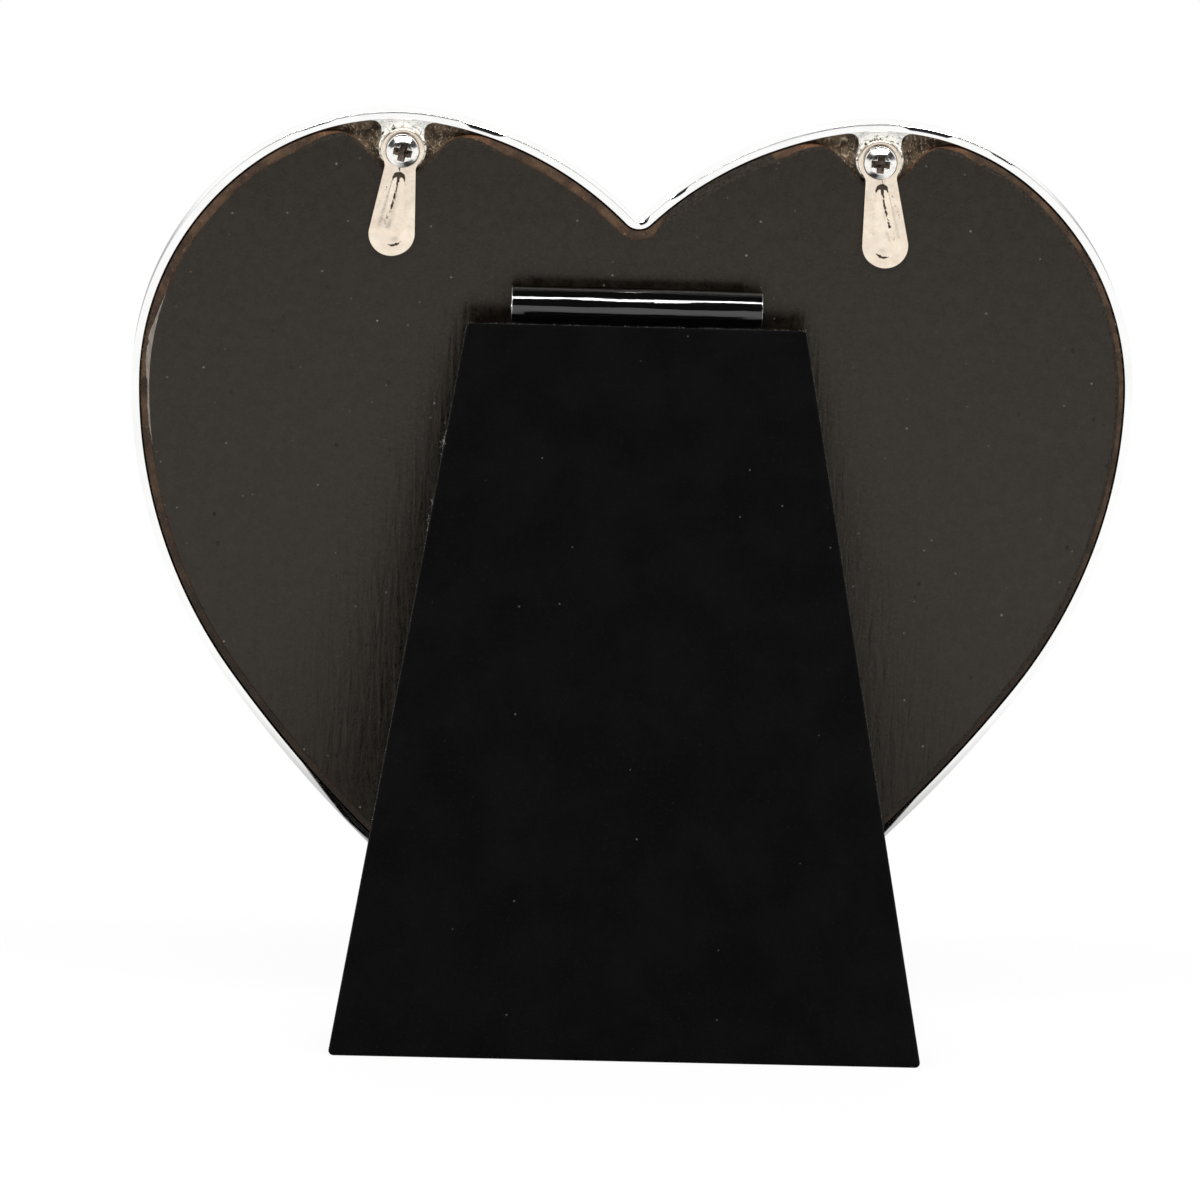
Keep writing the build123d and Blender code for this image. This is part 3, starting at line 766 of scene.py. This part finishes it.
def lug_web(side):
    """The web that carries a boss, flared into the rim on both sides."""
    half = web_width / 2
    outline = [Vector((SCREW_X - half, SCREW_Y)), Vector((SCREW_X + half, SCREW_Y))]
    for way in (1, -1):
        hub, outward = edge_point(SCREW_X + way * (half + web_fillet), -web_fillet)
        touch = hub + outward * web_fillet
        arc = along_arc(hub, hub - Vector((way * web_fillet, 0)), touch, 10)
        arc += [touch, touch + outward * rim_wall / 2]
        outline += arc if way > 0 else arc[::-1]
    outline = [(side * p.x, p.y) for p in outline]
    return prism("web", outline, rim_back + web_sink, board_front + crease_round, HEART, CASTING, (2, 1, 1))


def lug_boss(side):
    """The boss that a screw goes into."""
    edge = crease_round
    profile = [(0, 0), (boss_radius - edge, 0), (boss_radius, edge), (boss_radius, board_front + edge),
               (0, board_front + edge)]
    boss = lathe("boss", profile, 64, at_screw(side), CASTING)
    for face in boss.data.polygons:
        face.material_index = 2
    return boss


def tip_lip():
    """Lip across the heart's tip that holds the board's lower end."""
    outline = [p for p in heart_loop(rim_wall / 2) if p.y < tip_lip_height]
    outline.sort(key=lambda p: p.x)
    return prism("lip", outline, rim_back + crease_round / 2, tip_lip_front, HEART, CASTING)


def rim_casting():
    """The silvered casting: ring, lugs with their screw holes, and tip lip."""
    ring = rim_ring()
    combine(ring, tip_lip(), "UNION")
    for side in SIDES.values():
        combine(ring, lug_web(side), "UNION")
        combine(ring, lug_boss(side), "UNION")
        profile = [(0, -MM), (lug_hole_radius, -MM), (lug_hole_radius, lug_hole_depth), (0, lug_hole_depth)]
        combine(ring, lathe("hole", profile, 40, at_screw(side), CASTING), "DIFFERENCE")
    spread, depth = 2 * tip_lip_height, HEART.translation.y
    around = rectangle(spread, depth - spread, depth + spread)
    combine(ring, prism("table", around, -spread, 0, Matrix.Identity(4), CASTING), "DIFFERENCE")
    tidy(ring, 40)
    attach(ring, "frame")
    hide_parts("frame_casting")


def torn(point, amount):
    """A small uneven shift for a cut edge at a point of the heart frame."""
    coarse = noise.noise(point * 900) + 0.6 * noise.noise(point * 2600)
    chips = max(0.0, noise.noise(point * 1500 + Vector((7, 3, 5))) - 0.28)
    return amount * (0.7 * coarse - 3.5 * chips)


def bump_share(value, low, high, soft):
    """A share that is 1 between two values and fades to 0 over a soft width outside them."""
    return share_of(min((value - low) / soft, (high - value) / soft) + 1)


def overhang(point):
    """How far the paper's cut edge reaches out over the board's bevel at a point of the heart frame."""
    x, y = point.x / (cavity_width / 2), point.y / cavity_height
    beside_screw = abs(abs(point.x) - SCREW_X)
    if y > bay_level and beside_screw < bay_half_width:
        place, reaches = beside_screw, bay_reaches
    elif x > 0:
        place, reaches = y, left_reaches
    else:
        place, reaches = -x, right_reaches
    return max(reach * MM * bump_share(place, *span) for reach, *span in reaches)


def part_shading(mesh):
    """Parts the shading of flat faces from that of bent ones, and returns the kind of each face."""
    kinds, beside = [], {}
    for face in mesh.polygons:
        spots = [mesh.vertices[i].co for i in face.vertices]
        longest = max((spots[i] - spots[i - 1]).length for i in range(len(spots)))
        sliver = face.area / longest < 0.004 * MM
        flat = abs(face.normal.dot(BACK)) > 0.9995
        kinds.append("sliver" if sliver else "flat" if flat else "bent")
        for key in face.edge_keys:
            beside.setdefault(key, []).append(face.index)
    for edge in mesh.edges:
        found = {kinds[i] for i in beside.get(edge.key, [])}
        if "bent" in found and len(found) > 1:
            edge.use_edge_sharp = True
        elif "sliver" in found:
            edge.use_edge_sharp = False
    return kinds


def paper_sheet():
    """The board's dark paper with its unevenly cut edge."""
    work = bmesh.new()
    work.from_mesh(frame["nodes"]["backboard_paper"].data)
    bmesh.ops.remove_doubles(work, verts=work.verts, dist=0.01 * MM)
    away = [face for face in work.faces if face.normal.dot(BACK) < 0.9]
    bmesh.ops.delete(work, geom=away, context="FACES")
    bmesh.ops.dissolve_faces(work, faces=work.faces)
    rim = [edge for edge in work.edges if edge.is_boundary]
    longest, cuts = 0.45 * MM, {}
    for edge in rim:
        cuts.setdefault(max(0, int(edge.calc_length() / longest)), []).append(edge)
    for number, edges in cuts.items():
        if number:
            bmesh.ops.subdivide_edges(work, edges=edges, cuts=number)
    to_heart = HEART.inverted()
    slot_low = (to_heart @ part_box("hinge_board_leaf")[0]).y - 4 * MM
    moves, signs = {}, {}
    for vert in work.verts:
        here = to_heart @ vert.co
        out = Vector((0, 0, 0))
        for edge in vert.link_edges:
            if edge.is_boundary:
                along = (edge.other_vert(vert).co - vert.co).normalized()
                out += along.cross(BACK) * (1 if edge.link_loops[0].vert == vert else -1)
        near_slot = abs(here.x) < 18 * MM and slot_low < here.y < slot_low + 20 * MM
        if out.length > 0 and not near_slot:
            reach = torn(here, 0.13 * MM) + overhang(here)
            moves[vert] = out.normalized() * reach
            signs[vert] = reach
    cut_edge = [edge for edge in work.edges
                if edge.is_boundary and all(vert in moves for vert in edge.verts)]
    flap = bmesh.ops.extrude_edge_only(work, edges=cut_edge)["geom"]
    flap = [item for item in flap if isinstance(item, bmesh.types.BMVert)]
    twins = {tuple(vert.co): vert for vert in moves}
    pairs = [(vert, twins[tuple(vert.co)]) for vert in flap]
    for vert, root in pairs:
        out = moves[root]
        size = out.length * (1 if signs[root] > 0 else -1)
        if size > 0.02 * MM:
            vert.co += out - BACK * (size * flap_slope)
        else:
            root.co += out
            vert.co += out * 1.001
    bmesh.ops.remove_doubles(work, verts=work.verts, dist=0.008 * MM)
    bmesh.ops.recalc_face_normals(work, faces=work.faces)
    if sum(face.calc_area() * face.normal.dot(BACK) for face in work.faces) < 0:
        bmesh.ops.reverse_faces(work, faces=work.faces)
    bmesh.ops.triangulate(work, faces=[face for face in work.faces if len(face.verts) > 4])
    mesh = bpy.data.meshes.new("board_paper")
    work.to_mesh(mesh)
    work.free()
    mesh.materials.clear()
    mesh.materials.append(charcoal_paper())
    sheet = placed("board_paper", mesh)
    step = sheet.modifiers.new("thickness", "SOLIDIFY")
    step.thickness, step.offset = paper_thickness, -1
    settle(sheet)
    tidy(sheet, 25)
    kinds = part_shading(sheet.data)
    sheet.data.materials.append(FILM_GLINT)
    sheet.data.materials.append(TORN)
    # Bent faces at the left within the span get the painted glint
    low, high = glint_span[0] * cavity_height, glint_span[1] * cavity_height
    for face, kind in zip(sheet.data.polygons, kinds):
        spot = to_heart @ face.center
        if kind == "bent":
            glinting = face.normal.dot(BACK) > 0.5 and spot.x > 0 and low < spot.y < high
            face.material_index = 1 if glinting else 2
    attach(sheet, "frame")
    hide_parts("backboard_paper")


def tapered(x, y, low, low_radius, high, high_radius):
    """Signed distance to the hull of two circles whose centres are at two heights."""
    span = high - low
    lean = (low_radius - high_radius) / span
    rise = np.sqrt(1 - lean * lean)
    x, y = np.abs(x), y - low
    along = -lean * x + rise * y
    side = rise * x + lean * y - low_radius
    low_end = np.hypot(x, y) - low_radius
    high_end = np.hypot(x, y - span) - high_radius
    return np.where(along < 0, low_end, np.where(along > rise * span, high_end, side))


def tab_distance(x, y):
    """Signed distance to a turn tab's outline."""
    blade = tapered(x, y, -tab_tail_drop, tab_tail_radius, -tab_neck_drop, tab_neck_radius)
    eye = np.hypot(x, y) - tab_eye_radius
    blend = np.maximum(tab_crotch - np.abs(blade - eye), 0) / tab_crotch
    return np.minimum(blade, eye) - blend * blend * tab_crotch / 4


def tab_height(x, y):
    """Height of a tab's rear face over its front face, with its rounded edge and its ridge."""
    depth = np.maximum(-tab_distance(x, y), 0)
    short = np.maximum(tab_edge_round - depth, 0)
    edge = tab_edge_round - np.sqrt(np.maximum(tab_edge_round ** 2 - short ** 2, 0))
    return tab_thickness - edge + ridge_swell(x, y)


def ridge_swell(x, y):
    """Height of a tab's pressed ridge: a round head that rises steeply and a broad soft tail."""
    depth = -tapered(x, y, -ridge_tail_drop, ridge_tail_radius, -ridge_head_drop, ridge_head_radius)
    down = np.clip((-y - ridge_head_drop + ridge_head_radius) / ridge_rise_end, 0, 1)
    width = ridge_head_radius + (ridge_tail_radius - ridge_head_radius) * down
    across = np.clip(depth / (0.9 * width), 0, 1)
    soft = across * across * (3 - 2 * across)
    crest = ridge_step + (ridge_height - ridge_step) * down * down * (3 - 2 * down)
    return crest * soft


def stroke(distance, half_width):
    """Share of a soft edged stroke at a distance from its middle line."""
    return share_of(1.5 * (1 - abs(distance) / half_width)) if half_width > 0 else 0.0


def inside(depth):
    """Share of a soft edged shape at a depth inside its outline, in millimetres."""
    return share_of(depth / 0.1 + 0.5)


def tab_painted_reflection(out, down):
    """How strongly a tab carries painted dark reflections at a place, in millimetres outwards and down from
    its screw.
    """
    cap = min(inside(cap_radius - math.hypot(out, down - cap_drop)),
              inside(math.hypot(out, down - cap_hollow_drop) - cap_hollow_radius))
    stem = inside(stem_half - abs(out - stem_out)) * bump_share(down, *stem_span)
    run = max(0.0, down - streak_drop)
    streak = stroke(out - streak_out - streak_drift * run - streak_bend * run * run,
                    streak_half + streak_growth * run)
    streak *= streak_share * bump_share(down, *streak_span)
    line_mark = stroke(out - side_streak_out - side_streak_drift * (down - side_streak_drop), side_streak_half)
    line_mark *= side_streak_share * bump_share(down, *side_streak_span)
    below = down - tab_tail_drop / MM
    turn = math.degrees(math.atan2(-out, below))
    dash = stroke(math.hypot(out, below) - dash_radius, dash_half * bump_share(turn, *dash_span))
    return max(cap, stem, streak, line_mark, dash)


def half_width(y):
    """Half the width of a tab's outline at a height."""
    low, high = 0.0, 2 * tab_tail_radius
    for _ in range(40):
        middle = (low + high) / 2
        if tab_distance(middle, y) < 0:
            low = middle
        else:
            high = middle
    return low


def turn_tab(name, side, material):
    """One teardrop tab as a fine mesh, with its hole."""
    rows, columns = 220, 72
    bottom, top = -(tab_tail_drop + tab_tail_radius), tab_eye_radius
    vertices, faces = [], []
    for face in (1, 0):
        for row in range(rows + 1):
            y = bottom + (top - bottom) * (1 - math.cos(math.pi * row / rows)) / 2
            width = half_width(y)
            for column in range(columns + 1):
                x = width * math.sin(math.pi / 2 * (2 * column / columns - 1))
                height = float(tab_height(x, y)) if face else 0.0
                vertices.append((x, y, -tab_gap - height))
    per = (rows + 1) * (columns + 1)
    for row in range(rows):
        for column in range(columns):
            a = row * (columns + 1) + column
            quad = (a, a + 1, a + columns + 2, a + columns + 1)
            faces += [quad, tuple(per + i for i in reversed(quad))]
    for row in range(rows):
        for column in (0, columns):
            a = row * (columns + 1) + column
            b = a + columns + 1
            faces.append((a, b, per + b, per + a))
    joint = Vector(joints[f"tab_{name}_turn"]["pos_m"])
    place = Matrix.Translation(joint) @ HEART.to_3x3().to_4x4() @ Matrix.Rotation(side * tab_lean, 4, "Z")
    tab = put(f"tab_{name}", vertices, faces, place, [material], smooth=60)
    profile = [(0, MM), (tab_hole_radius, MM), (tab_hole_radius, -3 * MM), (0, -3 * MM)]
    combine(tab, lathe("hole", profile, 40, place, [material]), "DIFFERENCE")
    tidy(tab, 50)
    back = place.inverted()
    spots = [back @ vert.co for vert in tab.data.vertices]
    # Painted dark reflections, stored per point for the tab's material
    painted_reflection = tab.data.attributes.new("painted_reflection", "FLOAT", "POINT")
    painted_reflection.data.foreach_set("value", [tab_painted_reflection(side * spot.x / MM, -spot.y / MM) for spot in spots])
    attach(tab, f"tab_{name}")
    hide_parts(f"turn_tab_{name}")


def tab_screw(name, materials):
    """One pan head screw with its cross recess."""
    head_top = screw_seat + screw_head_height
    profile, level, steps = [(0, -head_top)], -head_top, 6
    for (start, slope), (end, next_slope) in zip(head_slopes, head_slopes[1:]):
        for i in range(steps):
            bend = math.radians(slope + (next_slope - slope) * (i + 0.5) / steps)
            level += math.tan(bend) * (end - start) / steps
            profile.append((start + (end - start) * (i + 1) / steps, level))
    profile += [(screw_head_radius, -screw_seat - 0.1 * MM), (screw_head_radius - 0.1 * MM, -screw_seat),
                (screw_radius, -screw_seat), (screw_radius, 0)]
    turns = int(-screw_end / screw_pitch) - 1
    for ring in range(turns):
        profile += [(screw_root, (ring + 0.5) * screw_pitch), (screw_radius, (ring + 1) * screw_pitch)]
    profile += [(screw_root, -screw_end), (0, -screw_end)]
    place = at_screw(SIDES[name]) @ Matrix.Rotation(screw_turns[name], 4, "Z")
    screw = lathe(f"screw_{name}", profile, 72, place, materials)
    # Each arm's cut faces take the painted recess shade
    for arm in (0, math.pi / 2):
        arm_place = place @ Matrix.Rotation(arm, 4, "Z")
        combine(screw, recess_arm(arm_place, head_top, materials), "DIFFERENCE")
    bevelled(screw, 0.035 * MM, 2, 35)
    tidy(screw, 40)
    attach(screw, "frame")
    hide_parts(f"tab_screw_{name}")


def recess_arm(place, head_top, materials):
    """One tapered arm of the cross recess, as a solid to cut away."""
    mouth, floor = -head_top - 0.3 * MM, -head_top + recess_depth
    flare = 0.3 * MM / recess_depth * (1 - recess_floor_share)
    vertices = []
    for level, share in ((mouth, 1 + flare), (floor, recess_floor_share)):
        x, y = recess_span / 2 * share, recess_wing / 2 * share
        vertices += [(*corner, level) for corner in rectangle(x, -y, y)]
    faces = [(0, 1, 2, 3), (4, 5, 6, 7), (0, 1, 5, 4), (1, 2, 6, 5), (2, 3, 7, 6), (3, 0, 4, 7)]
    return put("arm", vertices, faces, place, materials, [1] * len(faces))


def hinge_barrel():
    """The lacquered barrel, slightly uneven, open in its slot, with its leaf on the strut."""
    low = math.asin((curl_radius - hinge_sheet) / barrel_radius) - math.radians(1)
    high = math.asin(curl_radius / (barrel_radius - barrel_wall)) + OPEN + math.radians(1)
    around = 120
    angles = [high + (math.tau - high + low) * i / around for i in range(around + 1)]
    angles += [low + (high - low) * i / 12 for i in range(1, 12)]
    half = hinge_width / 2
    marks = sorted({-half, -slot_half_length, slot_half_length, half}
                   | {-slot_half_length + 2 * slot_half_length * i / 120 for i in range(1, 120)})
    vertices, faces = [], []
    for x in marks:
        for angle in angles:
            way = Vector((math.sin(angle), math.cos(angle)))
            spot = Vector((x * 75, way.x * 2.2, way.y * 2.2))
            swell = 0.05 * MM * noise.noise(spot) + 0.007 * MM * noise.noise(spot * 3.3)
            radius = barrel_radius - 0.03 * MM + swell
            vertices.append((x, way.x * radius, way.y * radius))
    count = len(angles)
    for m in range(len(marks) - 1):
        in_slot = marks[m] >= -slot_half_length - 1e-9 and marks[m + 1] <= slot_half_length + 1e-9
        faces += band(count, m, m + 1)[:around if in_slot else count]
    finishes = [LACQUER, DULL, STEEL]
    barrel = put("hinge_barrel", vertices, faces, STRUT, finishes)
    step = barrel.modifiers.new("wall", "SOLIDIFY")
    step.thickness, step.offset = barrel_wall, -1
    settle(barrel)
    bevelled(barrel, barrel_worn_edge, 2, 50)
    for face in barrel.data.polygons:
        face.material_index = 2 if abs(face.center.x) > half - barrel_worn_edge else 0
    leaf = prism("leaf", rectangle(half, -leaf_length, -leaf_root), core_front, core_front + hinge_sheet,
                 STRUT, finishes, (1, 1, 1))
    bevelled(leaf, 0.08 * MM, 2)
    combine(barrel, leaf, "UNION")
    tidy(barrel, 40)
    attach(barrel, "strut")
    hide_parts("hinge_barrel_leaf")


def strut_ring(inset, level):
    """One round of points of the strut's plan, set in from its edges, at a level across its thickness."""
    top = -(strut_top_drop + inset)
    up, front = STRUT.to_3x3().col[1], STRUT.to_3x3().col[2]
    bottom = (inset - HINGE.z - level * front.z) / up.z

    def half(y):
        return (strut_top_width / 2 + (-y - strut_top_drop) * math.tan(strut_side_angle)
                - inset / math.cos(strut_side_angle))

    bend = max(strut_corner - inset, 0.05 * MM)
    corners = [(half(top), top), (half(bottom), bottom), (-half(bottom), bottom), (-half(top), top)]
    return [(p.x, p.y, level) for p in rounded_path([(x, y, bend, 6) for x, y in corners])]


def strut_cover():
    """The velvet: back, rolled edges and hem, as one closed skin round the core."""
    back, front, roll = core_back - velvet, core_front + velvet, velvet_roll
    rings = [(velvet, core_back), (velvet, core_front), (velvet + hem_width, core_front),
             (velvet + hem_width - 0.02 * MM, front - 0.15 * MM), (velvet + hem_width - 0.18 * MM, front)]
    bends = [math.pi / 2 * i / 6 for i in range(7)]
    rings += [(roll * (1 - math.sin(bend)), front - roll * (1 - math.cos(bend))) for bend in bends]
    rings += [(roll * (1 - math.cos(bend)), back + roll * (1 - math.sin(bend))) for bend in bends]
    rings.append((velvet_flat, back))
    vertices = []
    for inset, level in rings:
        vertices += strut_ring(inset, level)
    count = len(vertices) // len(rings)
    faces = [list(range(count)), list(range(len(vertices) - count, len(vertices)))]
    for row in range(len(rings) - 1):
        faces += band(count, row, row + 1)
    cover = put("strut_cover", vertices, faces, STRUT, [VELVET], smooth=60)
    mouth = rectangle(hinge_width / 2 + velvet, -strut_top_drop - 2 * (velvet + hem_width), 0)
    gap = prism("mouth", mouth, core_front, front + MM, STRUT, [VELVET])
    combine(cover, gap, "DIFFERENCE")
    tidy(cover, 50)
    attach(cover, "strut")
    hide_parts("strut_velvet")


def fibre(points, radius):
    """A thin three sided thread through points, as vertices and faces."""
    vertices, faces = [], []
    for i, point in enumerate(points):
        thin = radius * (1 - 0.7 * i / (len(points) - 1))
        for corner in range(3):
            turn = math.tau * corner / 3
            vertices.append(point + Vector((math.cos(turn), 0.3, math.sin(turn))) * thin)
    for i in range(len(points) - 1):
        faces += band(3, i, i + 1)
    faces += [(0, 1, 2), tuple(3 * len(points) - k for k in (1, 2, 3))]
    return vertices, faces


def edge_lint():
    """Stray pile and lint tufts along the velvet's edges."""
    draw = random.Random(11)
    back = core_back - velvet
    top = -strut_top_drop
    vertices, faces = [], []

    def thread(start, heading, length, curl, radius):
        points, here, way = [], start.copy(), heading.normalized()
        steps = 5
        for _ in range(steps + 1):
            points.append(here.copy())
            here += way * length / steps
            way = (way + Vector([draw.uniform(-curl, curl) for _ in range(3)])).normalized()
        more_vertices, more_faces = fibre(points, radius)
        shift = len(vertices)
        vertices.extend(more_vertices)
        faces.extend([tuple(shift + i for i in face) for face in more_faces])

    def edge_spot(side, drop):
        width = strut_top_width / 2 + (drop - strut_top_drop) * math.tan(strut_side_angle)
        return Vector((side * width, -drop, back + draw.uniform(0.1, 0.9) * MM))

    foot = HINGE.z / STRUT.to_3x3().col[1].z
    for side in (-1, 1):
        for _ in range(side_fibres):
            drop = draw.uniform(strut_top_drop, foot - 2 * MM)
            start = edge_spot(side, drop) - Vector((side * 0.12 * MM, 0, 0))
            way = Vector((side, draw.uniform(-0.8, 0.5), draw.uniform(-0.6, 0.4)))
            thread(start, way, draw.uniform(0.15, 0.34) * MM, 0.3, 0.012 * MM)
    for _ in range(top_fibres):
        start = Vector((draw.uniform(-1, 1) * strut_top_width / 2, top - 0.1 * MM,
                        back + draw.uniform(0.15, 0.9) * MM))
        thread(start, Vector((draw.uniform(-0.6, 0.6), 1, draw.uniform(-0.6, 0.3))),
               draw.uniform(0.15, 0.36) * MM, 0.3, 0.013 * MM)
    for drop, count in lint_tufts:
        for _ in range(count):
            start = edge_spot(1, drop * MM + draw.uniform(-0.9, 0.9) * MM)
            way = Vector((draw.uniform(-0.1, 1), draw.uniform(-1, 1), draw.uniform(-0.9, 0.1)))
            thread(start, way, draw.uniform(0.5, 1.3) * MM, 0.9, 0.022 * MM)
    lint = put("velvet_lint", vertices, faces, STRUT, [LINT], smooth=80)
    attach(lint, "strut")


def dress_nodes():
    """Gives every piece that stays as built its own finish."""
    finishes = {
        "glass_pane": GLASS, "photo_insert": INSERT, "filler_card": CARD, "backboard": fibre_board(),
        "hinge_board_leaf": LACQUER, "hinge_board_staples": WIRE, "hinge_strut_staples": WIRE,
        "strut_core": CARD, "strut_lining": LINING,
    }
    for name, material in finishes.items():
        mesh = frame["nodes"][name].data
        mesh.materials.clear()
        mesh.materials.append(material)


rim_casting()
paper_sheet()
for name, side in SIDES.items():
    turn_tab(name, side, NICKEL)
for name in SIDES:
    tab_screw(name, [BRIGHT, RECESS_SHADE])
hinge_barrel()
strut_cover()
edge_lint()
dress_nodes()


# Floor, light and camera

def floor():
    """Plain white floor that keeps the object's shadow, and that metal mirrors near the object, with painted
    shadow under the strut and round the foot.
    """
    corners = [(*corner, 0) for corner in rectangle(floor_half, -floor_half, floor_half)]
    plane = put("floor", corners, [(0, 1, 2, 3)], Matrix.Identity(4), [])
    plane.location.z = -floor_sink
    f = Finish("floor", Base_Color=floor_colour, Roughness=0.9, Specular_IOR_Level=0.0)
    camera_ray, glossy, clear = f.rays()
    flat = f.parts()
    away = f.node("VectorMath", {0: f.where}, operation="LENGTH").outputs["Value"]
    dim = f.math("MULTIPLY", f.ramp(flat["Y"], *floor_depth), f.ramp(f.aside(flat), *floor_edge, 1.0, 0.0))
    # Painted shadow of the strut, in the floor's mirrored light
    along = f.math("ABSOLUTE", f.math("SUBTRACT", flat["Y"], strut_shadow_middle))
    strut_shadow = f.math("MULTIPLY", f.ramp(f.math("ABSOLUTE", flat["X"]), *strut_shadow_width, 1.0, 0.0),
                   f.ramp(along, *strut_shadow_length, 1.0, 0.0))
    mirrored = f.blend(f.math("MAXIMUM", dim, strut_shadow), 1.0, room_level)
    # Painted shadow round the object's foot, in the floor's mirrored light
    mirrored = f.math("MULTIPLY", mirrored, f.ramp(away, *foot_shade))
    seen = f.math("MULTIPLY", camera_ray, f.ramp(away, *floor_white))
    share = f.math("MAXIMUM", seen, f.math("MAXIMUM", glossy, clear))
    light = f.node("Emission", {"Strength": f.blend(camera_ray, mirrored, 1.0)}).outputs[0]
    both = f.node("MixShader", {0: share, 1: f.shader.outputs[0], 2: light}).outputs[0]
    f.give(f.tree.nodes["Material Output"].inputs["Surface"], both)
    plane.data.materials.append(f.material)


def world():
    """White surroundings; metal mirrors a dim room on the camera's side and a soft grey horizon."""
    studio = bpy.data.worlds.new("studio")
    bpy.context.scene.world = studio
    studio.use_nodes = True
    t = Tree(studio.node_tree, "Generated")
    camera_ray, glossy, clear = t.rays()
    way = t.parts()
    aside = t.math("MULTIPLY", t.ramp(way["Z"], *ceiling_span, 1.0, 0.0), t.aside(way))
    room = t.math("MULTIPLY", t.ramp(way["Y"], *room_depth), t.ramp(aside, *room_edge, 1.0, 0.0))
    mirrored = t.blend(room, t.ramp(way["Z"], *horizon_span), room_level)
    level = t.blend(glossy, world_fill, mirrored)
    level = t.blend(t.math("MAXIMUM", camera_ray, clear), level, 1.0)
    background = studio.node_tree.nodes["Background"]
    t.give(background.inputs["Strength"], level)
    background.inputs["Color"].default_value = (1, 1, 1, 1)


def softbox(name, place, size, power, mirrored):
    """A rectangular soft light aimed at the object, which gloss mirrors or not."""
    lamp = bpy.data.lights.new(name, "AREA")
    lamp.shape, lamp.size, lamp.size_y, lamp.energy = "RECTANGLE", size[0], size[1], power
    thing = placed(name, lamp)
    thing.location = place
    thing.rotation_euler = (Vector(lamp_aim) - Vector(place)).to_track_quat("-Z", "Y").to_euler()
    thing.visible_glossy = mirrored


def camera():
    """The photograph's camera: a long lens behind the frame, a little above its middle."""
    aim = Vector(camera_aim)
    around, above = math.radians(camera_around), math.radians(camera_above)
    away = Vector((math.sin(around) * math.cos(above), math.cos(around) * math.cos(above), math.sin(above)))
    eye = aim + camera_distance * away
    view = bpy.data.cameras.new("camera")
    view.lens = camera_lens
    view.clip_start, view.clip_end = 0.05, 30
    thing = placed("camera", view)
    thing.location = eye
    turned = Matrix.Rotation(math.radians(camera_roll), 3, "Z").to_quaternion()
    thing.rotation_euler = ((aim - eye).to_track_quat("-Z", "Y") @ turned).to_euler()
    bpy.context.scene.camera = thing


floor()
world()
for name, (place, size, power, mirrored) in LAMPS.items():
    softbox(name, place, size, power, mirrored)
camera()
bpy.context.scene.view_settings.view_transform = "Standard"
